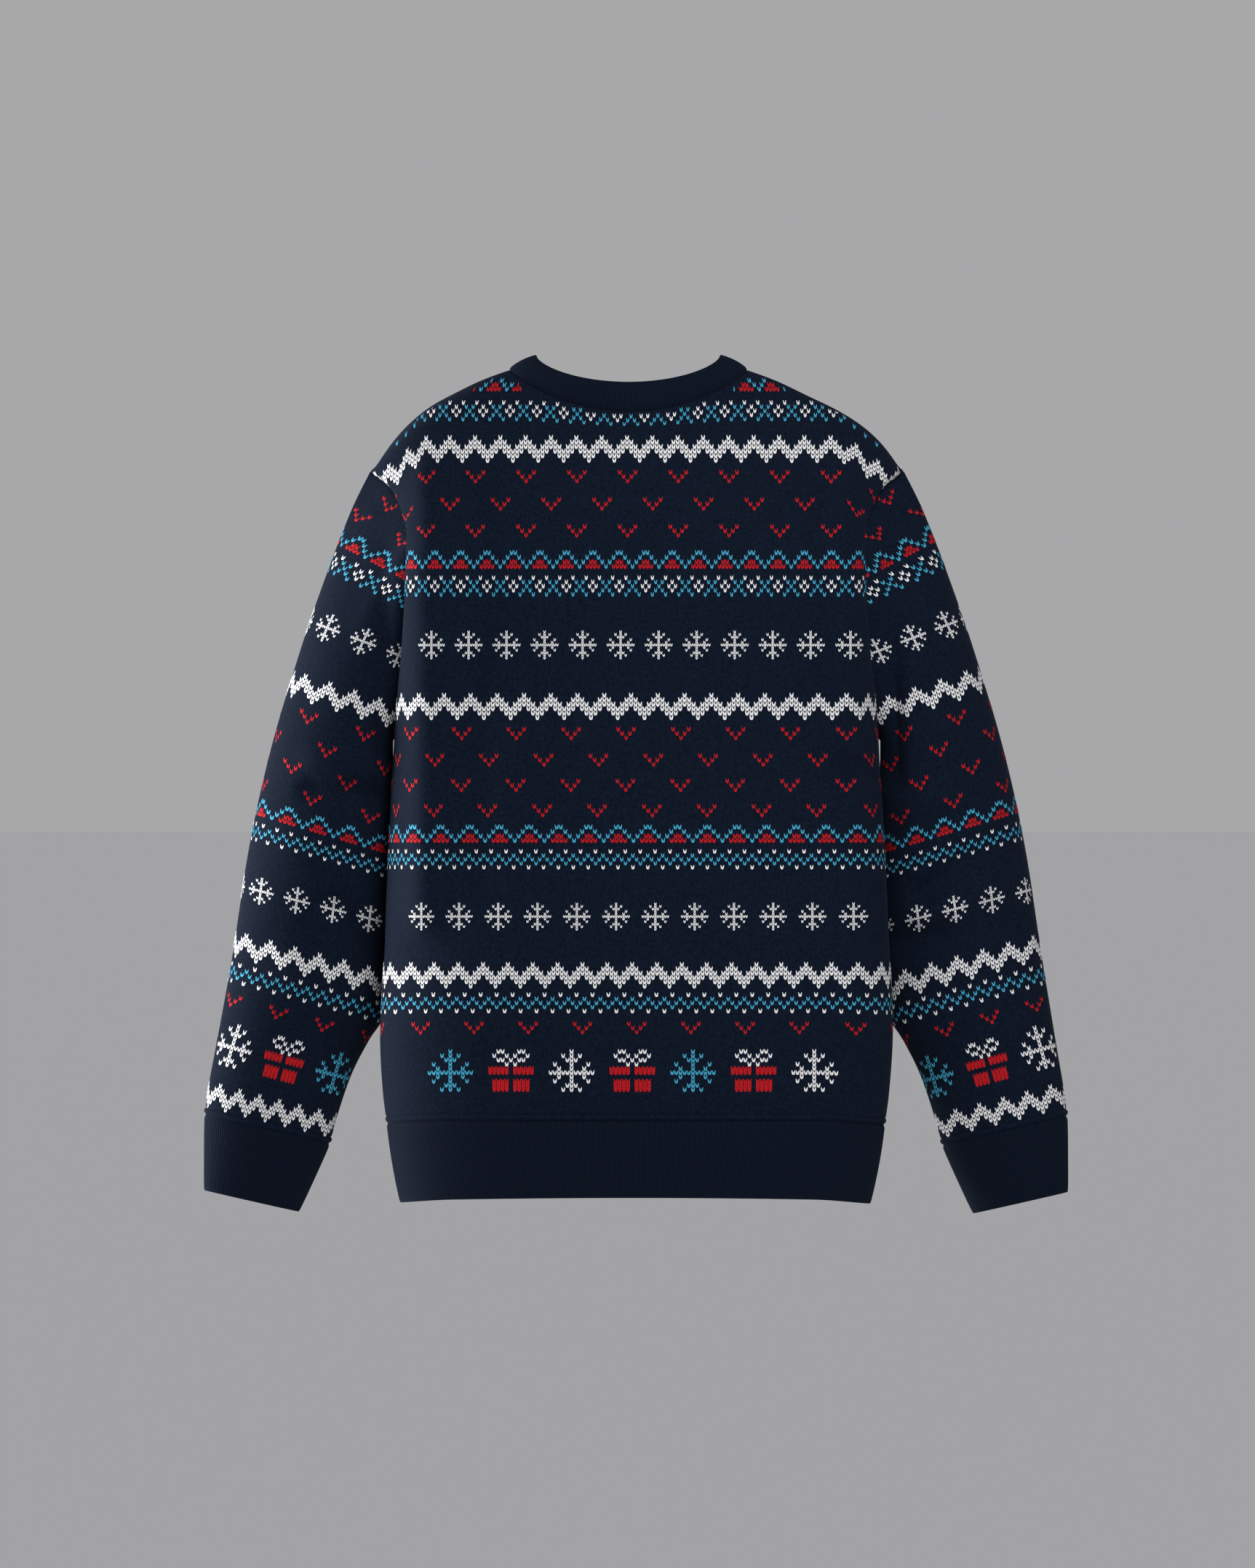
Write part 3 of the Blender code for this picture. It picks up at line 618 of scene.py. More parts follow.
def unroll(grid, level, start, sign):
    """A piece laid out flat: points on a 2 mm net of u across and v up, with normals and a mask."""
    rows = np.arange(len(grid))
    v = np.arange(-720.0, 10.0, NET)
    at = np.stack([np.interp(v, level[:, j], rows) for j in range(grid.shape[1])], axis=1)
    low = np.minimum(at.astype(int), len(grid) - 2)
    part = (at - low)[..., None]
    column = np.arange(grid.shape[1])[None]
    line = grid[low, column] * (1 - part) + grid[low + 1, column] * part
    held = (v[:, None] >= level.min(axis=0)) & (v[:, None] <= level.max(axis=0))
    step = np.diff(line, axis=1)
    away = np.abs(step[..., 1]) / np.maximum(np.linalg.norm(step, axis=-1), 1e-6)
    share = ease((away - TURNED_AWAY) / 0.15)
    length = np.sqrt(step[..., 0] ** 2 + step[..., 2] ** 2 + share * step[..., 1] ** 2)
    u_line = np.concatenate([np.zeros((len(v), 1)), np.cumsum(length, axis=1)], axis=1)
    u_line = u_line - start(v, u_line, line)[:, None]
    u = np.arange(-PRINT_REACH, PRINT_REACH, NET)
    points = np.zeros((len(v), len(u), 3))
    mask = np.zeros((len(v), len(u)))
    for n in range(len(v)):
        for c in range(3):
            points[n, :, c] = np.interp(u, u_line[n], line[n, :, c])
        inside = (u > u_line[n, 0]) & (u < u_line[n, -1])
        mask[n] = inside * np.interp(u, u_line[n], held[n].astype(float))
    normals = sign * unit(np.cross(np.gradient(points, axis=1), np.gradient(points, axis=0)))
    return u, v, np.concatenate([points, normals, mask[..., None]], axis=-1), sign


def draw(name, cloth, made, inks):
    """One mesh of strokes for each ink, laid on the unrolled cloth."""
    u, v, net, sign = cloth
    leaf = np.array(LEAF)
    done = []
    for letter, material in inks.items():
        cells = np.array([row[1:] for row in made if row[0] == letter])
        strokes = []
        for side in (-1, 1):
            foot = cells[:, :2] + np.array([side, 1]) * LEAF_FOOT * cells[:, 2:]
            head = cells[:, :2] + np.array([side, 1]) * LEAF_HEAD * cells[:, 2:]
            half = (head - foot) / 2
            across = unit(np.stack([half[:, 1], -half[:, 0]], -1)) * LEAF_WIDTH * cells[:, 2:3]
            middle = (head + foot) / 2
            strokes.append(middle[:, None] + leaf[None, :, :1] * half[:, None]
                           + leaf[None, :, 1:] * across[:, None])
        at = np.concatenate(strokes)
        a = (at[..., 0] - u[0]) / NET
        b = (at[..., 1] - v[0]) / NET
        fit = (a > 0).all(1) & (a < len(u) - 1).all(1) & (b > 0).all(1) & (b < len(v) - 1).all(1)
        a = a[fit]
        b = b[fit]
        i = a.astype(int)
        j = b.astype(int)
        p = (a - i)[..., None]
        q = (b - j)[..., None]
        low = net[j, i] * (1 - p) + net[j, i + 1] * p
        high = net[j + 1, i] * (1 - p) + net[j + 1, i + 1] * p
        found = low * (1 - q) + high * q
        found = found[(found[..., 6] > 0.99).all(1)]
        lift = np.full(len(leaf), INK_HEIGHT)
        lift[-1] += INK_CROWN
        points = found[..., :3] + unit(found[..., 3:6]) * lift[None, :, None]
        ring = np.arange(len(leaf) - 1)
        rim = np.stack([ring, np.roll(ring, -1), np.full(len(ring), len(ring))], -1)
        if sign > 0:
            rim = rim[:, ::-1]
        faces = (rim[None] + len(leaf) * np.arange(len(points))[:, None, None]).reshape(-1, 3)
        mesh = bpy.data.meshes.new(f"{name}_{material.name}")
        mesh.from_pydata((lean(points.reshape(-1, 3)) * 0.001).tolist(), [], faces.tolist())
        mesh.polygons.foreach_set("use_smooth", [True] * len(mesh.polygons))
        mesh.materials.append(material)
        item = bpy.data.objects.new(f"{name}_{material.name}", mesh)
        bpy.context.scene.collection.objects.link(item)
        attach(item, "root")
        done.append(item)
    return done


def ink(name, dark, light):
    """Water-based ink on brushed cloth: matt, with the fibres showing through here and there."""
    material = bpy.data.materials.new(name)
    material.use_nodes = True
    tree = material.node_tree
    shader = tree.nodes["Principled BSDF"]
    speck = grain(tree, 1500.0, 2.0)
    tree.links.new(tone(tree, speck, 0.35, 0.6, dark, light), shader.inputs["Base Color"])
    shader.inputs["Roughness"].default_value = 0.85
    shader.inputs["Specular IOR Level"].default_value = 0.1
    return material


INKS = {
    "W": ink("white_ink", (0.50, 0.50, 0.51, 1.0), (0.82, 0.82, 0.83, 1.0)),
    "C": ink("blue_ink", (0.028, 0.19, 0.30, 1.0), (0.060, 0.36, 0.54, 1.0)),
    "R": ink("red_ink", (0.26, 0.005, 0.008, 1.0), (0.50, 0.009, 0.013, 1.0)),
}


# How far the print dips below the middle of the collar, rises beside it and dips at the tips.
NECK_DIP = 3.2
NECK_RISE = 4.8
TIP_DIP = 26.0


def print_start(v, u_line, line):
    """Where the centre line of the back's print lies, a little to one side at the shoulders."""
    middle = line.shape[1] // 2
    shift = 4.4 * ease((v + 420.0) / 120.0) - 4.0 * ease((v + 110.0) / 110.0)
    return u_line[:, middle] - line[:, middle, 0] + shift


def print_height(grid):
    """Height in the print: its rows dip over the shoulder tips and a little below the collar."""
    x = np.abs(grid[..., 0])
    z = grid[..., 2]
    z = z + (NECK_DIP - NECK_RISE * ease(x / 95.0)) * ease((z + 58.0) / 14.0)
    return z + TIP_DIP * ease((x - 172.0) / 45.0) * ease((z + 150.0) / 35.0)


body_print = [row for band in BANDS for row in spread(*band, REACH.get(band[0], PRINT_REACH))]
body_print += motifs(*MOTIF_ROW, range(-3, 4))
back_net = unroll(back, print_height(back), print_start, -1)
back_prints = draw("back_print", back_net, body_print, INKS)

# ================================================================ front panel
# The front, cut from the same fleece with a lower neckline and printed with the same bands. It is
# sewn to the back down both sides, from the armholes to the hem, and along the shoulders.

front, front_places = panel_cloth("front", 1)
front_panel = add_cloth("front_panel_cloth", front, 1, False, front_places, fleece)
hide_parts("front_panel")


def centred(v, u_line, line):
    """The print of the front is centred on the garment."""
    middle = line.shape[1] // 2
    return u_line[:, middle] - line[:, middle, 0]


front_net = unroll(front, print_height(front), centred, 1)
front_prints = draw("front_print", front_net, body_print, INKS)

# ================================================================ sleeves
# Two set-in sleeves of the same fleece, each closed by one seam along the underarm, sewn round
# the armhole at the top and gathered a little into the cuff. They hang bent slightly forward.

SLEEVE = (
    # ring, out_x, out_z, in_x, in_z, mid_y, half_y
    (0.0, 224.0, -84.0, 195.0, -305.0, 4.0, 67.0),
    (1.0, 238.5, -113.0, 205.0, -314.0, 0.0, 63.0),
    (2.0, 252.0, -146.0, 205.0, -329.0, -5.0, 60.0),
    (3.0, 265.0, -181.0, 204.0, -348.0, -10.0, 59.0),
    (4.0, 279.0, -221.0, 203.5, -370.0, -14.0, 58.0),
    (5.0, 292.0, -262.0, 204.0, -393.0, -18.0, 58.0),
    (6.0, 303.5, -300.0, 205.0, -418.0, -22.0, 58.0),
    (7.0, 313.5, -338.0, 206.0, -442.0, -27.0, 57.5),
    (8.0, 322.5, -378.0, 207.0, -466.0, -31.0, 57.0),
    (9.0, 330.0, -418.0, 208.0, -490.0, -35.0, 55.0),
    (10.0, 336.0, -458.0, 209.0, -513.0, -39.0, 53.0),
    (11.0, 342.0, -498.0, 211.0, -541.0, -43.0, 50.0),
    (12.0, 348.0, -536.0, 224.0, -564.0, -47.0, 46.0),
    (13.0, 353.5, -571.0, 237.0, -590.0, -51.0, 42.0),
    (14.0, 358.5, -601.0, 248.0, -622.0, -54.0, 38.0),
    (15.0, 361.5, -625.0, 256.0, -650.0, -56.0, 34.0),
)
# The print's level lines on a sleeve: the body height each matches, a point on it, its slope.
LEVELS = (
    # v,     x,     z,      slope
    (-700.0, 325.0, -686.0, 0.22),
    (-650.0, 308.7, -637.5, 0.24),
    (-591.0, 291.0, -580.0, 0.26),
    (-534.0, 277.0, -524.7, 0.265),
    (-461.0, 268.0, -451.0, 0.25),
    (-391.0, 262.0, -385.5, 0.30),
    (-283.0, 243.0, -278.5, 0.31),
    (-231.0, 227.5, -228.7, 0.38),
    (-160.0, 213.0, -159.0, 0.54),
    (-80.0, 196.0, -80.0, 0.62),
    (-40.0, 188.0, -40.0, 0.66),
)
SLEEVE_BANDS = {
    # chart, middle, wide, high, repeat, start; plus is outwards from the middle of the sleeve's back
    "left": (
        ("vee", -97.0, 3.30, 3.60, 42.6, 6.3),
        ("vee", -118.0, 3.30, 3.60, 42.6, 15.4),
        ("vee", -138.5, 3.30, 3.60, 42.6, -13.2),
        ("chevron", -160.5, 3.50, 3.84, 24.5, 10.3),
        ("lattice", -182.8, 3.31, 3.50, 26.5, 14.0),
        ("flake", -232.2, 2.08, 2.15, 32.5, 11.3),
        ("zigzag", -283.8, 3.65, 3.75, 21.9, 2.7),
        ("vee", -306.5, 3.30, 3.60, 49.5, -13.9),
        ("vee", -328.8, 3.30, 3.60, 51.5, 14.4),
        ("vee", -350.0, 3.30, 3.60, 48.4, -7.4),
        ("vee", -371.3, 3.30, 3.60, 51.0, 19.5),
        ("chevron", -390.7, 3.86, 3.75, 27.0, 11.4),
        ("dots", -412.2, 3.12, 3.32, 12.5, 6.4),
        ("flake", -461.5, 2.08, 2.12, 31.5, 19.0),
        ("zigzag", -510.5, 3.55, 3.65, 21.3, 15.6),
        ("dots", -533.5, 3.35, 3.43, 13.4, 7.2),
        ("vee", -556.0, 3.30, 3.45, 40.3, 18.2),
        ("zigzag", -634.0, 2.87, 3.60, 17.2, -5.2),
    ),
    "right": (
        ("vee", -90.7, 3.30, 3.60, 42.6, 4.2),
        ("vee", -113.8, 3.30, 3.60, 42.6, -22.6),
        ("vee", -136.4, 3.30, 3.60, 42.6, -6.0),
        ("chevron", -158.0, 3.51, 3.84, 24.6, 4.2),
        ("lattice", -179.5, 3.56, 3.50, 28.5, 3.7),
        ("flake", -230.0, 2.08, 2.15, 30.8, 14.8),
        ("zigzag", -280.5, 3.80, 3.75, 22.8, -0.6),
        ("vee", -305.0, 3.30, 3.60, 47.0, -18.6),
        ("vee", -326.0, 3.30, 3.60, 47.6, 8.1),
        ("vee", -348.0, 3.30, 3.60, 45.5, -13.8),
        ("vee", -371.0, 3.30, 3.60, 46.3, 11.1),
        ("chevron", -389.0, 3.53, 3.75, 24.7, 1.4),
        ("dots", -412.2, 3.12, 3.32, 12.5, 2.0),
        ("flake", -464.0, 2.08, 2.12, 31.9, -1.2),
        ("zigzag", -513.0, 3.75, 3.65, 22.5, -4.2),
        ("dots", -535.5, 3.35, 3.43, 13.4, 4.0),
        ("vee", -558.0, 3.30, 3.45, 39.4, 12.9),
        ("zigzag", -633.0, 3.43, 3.60, 20.6, 4.2),
    ),
}
# Middle of the motif row, its repeat, the width of a stitch and where the gift is; then the rings
# drawn close together at the armhole and at the cuff.
SLEEVE_MOTIFS = {"left": (-591.0, 45.0, 3.1, 0.5), "right": (-591.5, 47.0, 3.2, -1.2)}
ARM_RINGS = (0.0, 0.03, 0.06, 0.09, 0.13)
CUFF_SIDE = (12.5, 9.5, 7.5, 6.5, 6.0, 5.6, 5.2, 4.8, 4.3, 3.7, 3.0, 2.3, 1.6, 1.0, 0.5, 0.0)
LAST_RING = 15.0
LAST_RING_LENGTH = 26.0
UNDERARM_SEAM = 1.0


def tube_frame(table, at):
    """Middle, long half axis, depth half axis and normal of sleeve or cuff sections."""
    zero = np.zeros(np.shape(at))
    out_x = smooth(table, 1, at)
    out_z = smooth(table, 2, at)
    in_x = smooth(table, 3, at)
    in_z = smooth(table, 4, at)
    middle = np.stack([(out_x + in_x) / 2, smooth(table, 5, at), (out_z + in_z) / 2], axis=-1)
    long = np.stack([(out_x - in_x) / 2, zero, (out_z - in_z) / 2], axis=-1)
    deep = np.stack([zero, smooth(table, 6, at), zero], axis=-1)
    return middle, long, deep, unit(np.cross(long, deep))


def round_arm():
    """Steps of the armhole edge right round, from the underarm up the back and down the front."""
    up = armhole_rows()
    return np.concatenate([up, up[::-1][1:-1]]), np.arange(2 * len(up) - 2) < len(up)


def sleeve_cloth(piece):
    """The surface of a sleeve from the armhole to the cuff, worked out on the left side."""
    step, behind = round_arm()
    edge = smooth(ARMHOLE_EDGE, 1, step)
    rise = (edge - HEM_Z) / (edge.max() - HEM_Z)
    one = np.ones(len(step))
    loop = np.where(behind[:, None], panel("back", one, rise), panel("front", one, rise))
    low_rings = LAST_RING - np.array(CUFF_SIDE) / LAST_RING_LENGTH
    rings = np.concatenate([ARM_RINGS, np.linspace(0.2, 14.4, 116), low_rings])
    middle, long, deep, normal = tube_frame(SLEEVE, rings)
    away = loop - middle[0]
    blend = ease(rings / 4.0)[:, None]
    angle = (EDGE_STEPS - step) * pi / EDGE_STEPS * np.where(behind, 1, -1)
    a = away @ long[0] / (long[0] @ long[0]) * (1 - blend) + np.cos(angle) * blend
    b = away[:, 1] / deep[0, 1] * (1 - blend) + np.sin(angle) * blend
    c = away @ normal[0] * (1 - blend)
    base = middle[:, None] + a[..., None] * long[:, None] + b[..., None] * deep[:, None]
    base = base + c[..., None] * normal[:, None]
    base[0] = loop
    side = 1 if piece == "left" else -1
    outward = grid_normals(base, 1, True)
    fade = ease(rings / 3.0)[:, None] * ease((14.7 - rings) / 1.0)[:, None] * ease(b / 0.5)
    lift = fold_rise(piece, side * base[..., 0], base[..., 2]) * fade
    from_cuff = cloth_distance(base[::-1], 0)[::-1]
    from_arm = cloth_distance(base, 0)
    wrapped = np.concatenate([base, base[:, :1]], axis=1)
    across = cloth_distance(wrapped, 1)
    from_under = np.minimum(across[:, :-1], across[:, -1:] - across[:, :-1])
    ends = np.maximum(near_seam(from_cuff), near_seam(from_arm))[..., 0]
    lift = lift + puffed(from_cuff) - UNDERARM_SEAM * near_seam(from_under)[..., 0] * (1 - ends)
    points = base + outward * lift[..., None]
    to_arm = unit(middle[-1] - base)
    points = points + SEAM_DEPTH * near_seam(from_arm) * inward(base)
    points = points + SEAM_DEPTH * near_seam(from_cuff) * to_arm
    places = np.stack([across, cloth_distance(wrapped, 0)], axis=-1)
    return points * np.array([side, 1, 1]), places


def print_level(points):
    """Height on the body that each point of a sleeve matches in the print."""
    v = np.array(LEVELS)[:, 0]
    fine = np.linspace(v[0], v[-1], 400)
    x = smooth(LEVELS, 1, fine)
    z = smooth(LEVELS, 2, fine)
    slope = smooth(LEVELS, 3, fine)
    over = points[..., 2, None] - z - slope * (np.abs(points[..., 0, None]) - x)
    last = np.clip((over > 0).sum(axis=-1) - 1, 0, len(fine) - 2)
    here = np.take_along_axis(over, last[..., None], -1)[..., 0]
    after = np.take_along_axis(over, last[..., None] + 1, -1)[..., 0]
    return fine[last] + (fine[last + 1] - fine[last]) * here / (here - after)


def middle_back(v, u_line, line):
    """The print is centred on the middle of the sleeve's back half."""
    quarter = int(np.argmin(np.abs(armhole_rows() - 6.5)))
    return u_line[:, quarter] + 0.3 * np.clip(v + 165.0, 0.0, None)


for piece, sign in (("left", 1), ("right", -1)):
    sleeve, places = sleeve_cloth(piece)
    item = add_cloth(f"sleeve_{piece}_cloth", sleeve, sign, True, places, fleece)
    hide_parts(f"sleeve_{piece}")
    upward = np.concatenate([sleeve, sleeve[:, :1]], axis=1)[::-1]
    level = np.maximum.accumulate(print_level(upward), axis=0)
    net = unroll(upward, level, middle_back, -sign)
    made = [row for band in SLEEVE_BANDS[piece] for row in spread(*band, PRINT_REACH)]
    made += motifs(*SLEEVE_MOTIFS[piece], range(-3, 4))
    prints = draw(f"sleeve_{piece}_print", net, made, INKS)

# ================================================================ collar
# A narrow band of rib knit, doubled, sewn round the neckline slightly stretched, so that it
# stands up and leans in to the neck.

COLLAR_PEAK_X = 77.0
COLLAR_PEAK_Z = 13.0
COLLAR_BACK_Z = -10.0
COLLAR_BACK_REACH = 44.0
COLLAR_FRONT_Z = -67.0
COLLAR_FRONT_REACH = 70.0
COLLAR_ROLL = 1.5
RIB_PITCH = 1.9
RIB_RELIEF = 0.2
RIB_SAMPLES = 5
RIB_CLOTH = 2.2
# Places of the rows down a rib band, close together at the seam and near the free edge.
BAND_ROWS = (0, 0.011, 0.022, 0.04, 0.065, 0.1, 0.18, 0.3, 0.45, 0.6, 0.75, 0.87, 0.94, 0.965, 0.982)


def even_columns(grid, row, count):
    """A closed grid with its columns spaced evenly along one row."""
    wrapped = np.concatenate([grid, grid[:, :1]], axis=1)
    along = cloth_distance(wrapped, 1)[row]
    at = np.arange(count) * along[-1] / count
    out = np.zeros((len(grid), count, 3))
    for i in range(len(grid)):
        for c in range(3):
            out[i, :, c] = np.interp(at, along, wrapped[i, :, c])
    return out


def rib_band(name, grid, sign, sink, material):
    """A doubled rib band: ribs outside, a rounded free edge, a plain inside back to the seam."""
    normal = grid_normals(grid, sign, True)
    down = cloth_distance(grid, 0)
    left = down[-1:] - down
    phase = np.arange(grid.shape[1]) / RIB_SAMPLES
    crest = RIB_RELIEF * (2 * np.abs(np.cos(pi * phase)) ** 0.7 - 1)
    rise = crest * ease(down / 3.0) * (0.4 + 0.6 * ease(left / 2.5))
    seam = SEAM_DEPTH * near_seam(down) * sink(grid)
    rows = [grid + normal * rise[..., None] + seam]
    tip = unit(grid[-1] - grid[-2])
    for turn in (35.0, 90.0, 145.0):
        bend = np.radians(turn)
        out = RIB_CLOTH / 2 * (np.cos(bend) - 1) + crest * 0.4 * np.cos(bend / 2) ** 2
        rows.append((grid[-1] + normal[-1] * out[:, None] + tip * RIB_CLOTH / 2 * np.sin(bend))[None])
    keep = [-1, -4, len(grid) // 2, 4, 1, 0]
    rows.append((grid - normal * RIB_CLOTH + seam)[keep])
    rows = np.concatenate(rows)
    wrapped = np.concatenate([rows, rows[:1]])
    wrapped = np.concatenate([wrapped, wrapped[:, :1]], axis=1)
    count = np.arange(wrapped.shape[1]) / RIB_SAMPLES * 1000.0
    places = np.stack([np.broadcast_to(count, wrapped.shape[:2]), cloth_distance(wrapped, 0)], -1)
    return add_cloth(name, rows, sign, True, places, material, looped=True)


def ribbed(name, dark, light):
    """Rib knit: painted shade makes the valleys between the ribs darker, and the stitches show as fine
    steps.
    """
    material = bpy.data.materials.new(name)
    material.use_nodes = True
    tree = material.node_tree
    shader = tree.nodes["Principled BSDF"]
    spot = tree.nodes.new("ShaderNodeUVMap")
    spot.uv_map = "Cloth"
    apart = tree.nodes.new("ShaderNodeSeparateXYZ")
    tree.links.new(spot.outputs["UV"], apart.inputs["Vector"])
    turn = tree.nodes.new("ShaderNodeMath")
    turn.operation = "MULTIPLY"
    turn.inputs[1].default_value = 2 * pi
    tree.links.new(apart.outputs["X"], turn.inputs[0])
    # Painted shade: a wave at the rib pitch darkens the colour in the valleys between the ribs.
    painted_valley_shade = tree.nodes.new("ShaderNodeMath")
    painted_valley_shade.operation = "COSINE"
    tree.links.new(turn.outputs["Value"], painted_valley_shade.inputs[0])
    # The painted valley shade and the random grain together set the colour.
    shade_and_grain = tree.nodes.new("ShaderNodeMath")
    shade_and_grain.operation = "ADD"
    tree.links.new(painted_valley_shade.outputs["Value"], shade_and_grain.inputs[0])
    tree.links.new(grain(tree, 1300.0, 3.0), shade_and_grain.inputs[1])
    tree.links.new(tone(tree, shade_and_grain.outputs["Value"], -0.6, 1.5, dark, light), shader.inputs["Base Color"])
    matt(shader, 0.9)
    return material


# The dark end serves both as the painted shade in the rib valleys and as the dark of the grain.
RIB_DARK = (0.0014, 0.0026, 0.0062, 1.0)
RIB_LIGHT = (0.0054, 0.0096, 0.0205, 1.0)
rib_knit = ribbed("navy_rib", RIB_DARK, RIB_LIGHT)


def neck_loop():
    """The neckline: across the back from the right, then back across the front."""
    w = neck_places()
    over = panel("back", w, np.ones(len(w)))
    under = panel("front", w, np.ones(len(w)))[::-1]
    return np.concatenate([over, under[1:-1]])


def collar_rows():
    """Rows of the collar from the neck seam to its free edge, leaning in towards the neck."""
    seam = neck_loop()
    sine = np.clip(seam[:, 0] / NECK_X, -1, 1)
    cosine = np.sqrt(1 - sine ** 2)
    rear = np.arange(len(seam)) < NECK_POINTS
    top_y = np.where(rear, COLLAR_BACK_REACH, -COLLAR_FRONT_REACH) * cosine
    low = np.where(rear, COLLAR_BACK_Z, COLLAR_FRONT_Z)
    top_z = COLLAR_PEAK_Z + (low - COLLAR_PEAK_Z) * cosine ** 1.25
    top = np.stack([COLLAR_PEAK_X * sine, top_y, top_z], axis=-1)
    outward = unit(np.stack([sine, np.where(rear, cosine, -cosine), 0.5 + 0 * sine], axis=-1))
    middle = (seam + top) / 2 + (COLLAR_ROLL + 0.8) * outward
    rows = []
    for t in (0, 0.025, 0.05, 0.09, 0.14, 0.22, 0.32, 0.45, 0.58, 0.7, 0.8, 0.87, 0.92, 0.955):
        rows.append(seam * (1 - t) * (1 - 2 * t) + 4 * middle * t * (1 - t) + top * t * (2 * t - 1))
    return np.stack(rows)


collar_base = collar_rows()
collar_length = cloth_distance(np.concatenate([collar_base, collar_base[:, :1]], axis=1), 1)[7, -1]
collar_grid = even_columns(collar_base, 7, round(collar_length / RIB_PITCH) * RIB_SAMPLES)
collar = rib_band("collar_cloth", collar_grid, -1, inward_top, rib_knit)
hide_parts("collar_rib")

# ================================================================ hem band
# The waistband of the same rib knit, doubled and sewn to the bottom of both panels; it is a bit
# shorter than the body, so it draws the hem in.

HEM_FOOT_Z = -697.0
HEM_FOOT_CURVE = 3.0
HEM_DRAW = 0.945
HEM_SWELL = 1.3


def hem_rows():
    """Rows of the hem band from the panels down to its free edge."""
    w = np.linspace(-1.0, 1.0, 161)
    over = panel("back", w, 0 * w)
    under = panel("front", w, 0 * w)[::-1]
    seam = np.concatenate([over, under[1:-1]])
    foot = seam * np.array([HEM_DRAW, HEM_DRAW, 0.0])
    foot[:, 2] = HEM_FOOT_Z - HEM_FOOT_CURVE * (foot[:, 0] / 200.0) ** 2
    out = unit(seam * np.array([1 / TRUNK_HALF[0] ** 2, 1 / TRUNK_HALF[1] ** 2, 0.0]))
    rows = []
    for t in BAND_ROWS:
        rows.append(seam * (1 - t) + foot * t + out * HEM_SWELL * np.sin(pi * t) ** 0.8)
    return np.stack(rows)


hem_base = hem_rows()
hem_length = cloth_distance(np.concatenate([hem_base, hem_base[:, :1]], axis=1), 1)[0, -1]
hem_grid = even_columns(hem_base, 0, round(hem_length / RIB_PITCH) * RIB_SAMPLES)
hem = rib_band("hem_cloth", hem_grid, 1, inward, rib_knit)
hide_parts("hem_rib")

# ================================================================ cuffs
# Two tubes of the same rib knit, doubled, that hold the sleeve ends to the wrists.

CUFF = (
    # step, out_x, out_z, in_x, in_z, mid_y, half_y
    (0.0, 361.5, -625.0, 256.0, -650.0, -56.0, 34.0),
    (1.0, 361.0, -657.0, 269.5, -678.0, -58.0, 27.0),
    (2.0, 362.0, -690.0, 282.5, -708.0, -60.0, 22.0),
)
CUFF_SWELL = 1.2


def cuff_rows():
    """Rows of the left cuff from the sleeve's end down."""
    step, behind = round_arm()
    angle = (EDGE_STEPS - step) * pi / EDGE_STEPS * np.where(behind, 1, -1)
    t = np.array(BAND_ROWS)
    middle, long, deep = tube_frame(CUFF, 2 * t)[:3]
    ring = np.cos(angle)[:, None] * long[:, None] + np.sin(angle)[:, None] * deep[:, None]
    swell = CUFF_SWELL * np.sin(pi * t)[:, None, None] ** 0.8
    return middle[:, None] + ring + unit(ring) * swell


def to_wrist(points):
    """Directions from the sleeve's end seam to the middle of the sleeve."""
    middle = tube_frame(CUFF, np.array([0.0]))[0][0]
    middle = np.stack([np.sign(points[..., 0]) * middle[0], 0 * points[..., 0] + middle[1],
                       0 * points[..., 0] + middle[2]], axis=-1)
    return unit(middle - points)


cuff_base = cuff_rows()
cuff_length = cloth_distance(np.concatenate([cuff_base, cuff_base[:, :1]], axis=1), 1)[7, -1]
cuff_grid = even_columns(cuff_base, 7, round(cuff_length / RIB_PITCH) * RIB_SAMPLES)
for piece, sign in (("left", 1), ("right", -1)):
    grid = cuff_grid * np.array([sign, 1, 1])
    cuff = rib_band(f"cuff_{piece}_cloth", grid, sign, to_wrist, rib_knit)
    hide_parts(f"cuff_{piece}")

# ================================================================ studio
# A pale floor well below the hanging garment, a large soft light above and behind its back, and a
# low one at its left side; the camera is far off behind it, level with its middle.

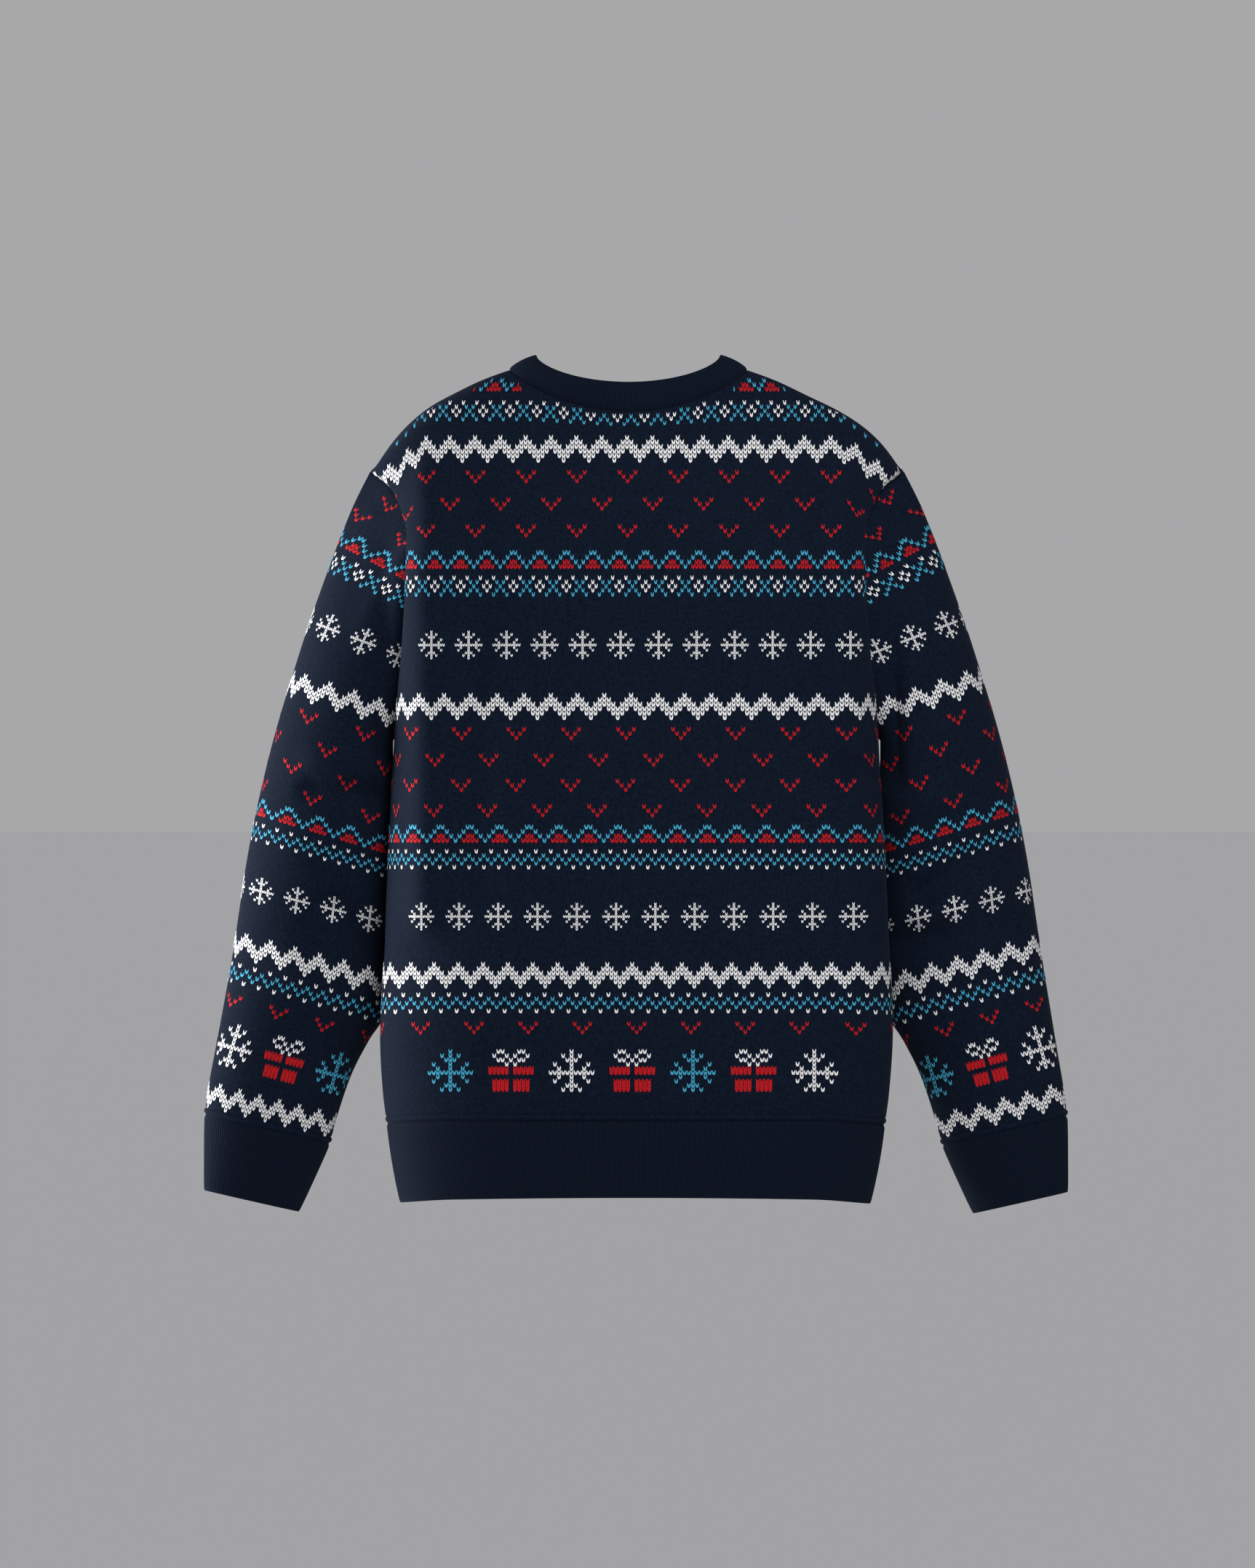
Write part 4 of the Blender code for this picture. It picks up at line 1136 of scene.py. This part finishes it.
LAMP_SPREAD = 1.2
PICTURE_HEIGHT = 1.3184
VIEW_FROM = 30.0
CLOTH_Y = 0.07

floor_mesh = bpy.data.meshes.new("floor")
corners = [(-900, -900, -1.6), (900, -900, -1.6), (900, 900, -1.6), (-900, 900, -1.6)]
floor_mesh.from_pydata(corners, [], [(0, 1, 2, 3)])
floor = bpy.data.objects.new("floor", floor_mesh)
bpy.context.scene.collection.objects.link(floor)
paint = bpy.data.materials.new("pale_floor")
paint.use_nodes = True
coat = paint.node_tree.nodes["Principled BSDF"]
coat.inputs["Base Color"].default_value = (0.93, 0.93, 0.94, 1.0)
coat.inputs["Roughness"].default_value = 0.9
floor_mesh.materials.append(paint)

world = bpy.data.worlds.new("studio")
world.use_nodes = True
air = world.node_tree.nodes["Background"]
air.inputs["Color"].default_value = (0.98, 0.98, 1.0, 1.0)
air.inputs["Strength"].default_value = 0.40
bpy.context.scene.world = world
bpy.context.scene.view_settings.view_transform = "Standard"


def soft_light(name, place, aim, size, power):
    """A square lamp that sends most of its light one way, towards the aim."""
    lamp = bpy.data.lights.new(name, "AREA")
    lamp.size = size
    lamp.energy = power
    lamp.spread = LAMP_SPREAD
    item = bpy.data.objects.new(name, lamp)
    item.location = place
    away = np.array(place) - np.array(aim)
    flat = np.hypot(away[0], away[1])
    item.rotation_euler = (np.arctan2(flat, away[2]), 0.0, np.arctan2(away[0], -away[1]))
    bpy.context.scene.collection.objects.link(item)


soft_light("key", (-0.6, 2.95, 1.2), (0.0, 0.0, -0.38), 1.3, 14.5)
soft_light("edge", (2.8, -0.85, -0.5), (0.0, 0.0, -0.45), 1.4, 38.0)

lens = bpy.data.cameras.new("camera")
lens.lens = lens.sensor_width * (VIEW_FROM - CLOTH_Y) / PICTURE_HEIGHT
camera = bpy.data.objects.new("camera", lens)
camera.location = (0.0046, VIEW_FROM, -0.349)
camera.rotation_euler = (pi / 2, 0.0, pi)
bpy.context.scene.collection.objects.link(camera)
bpy.context.scene.camera = camera
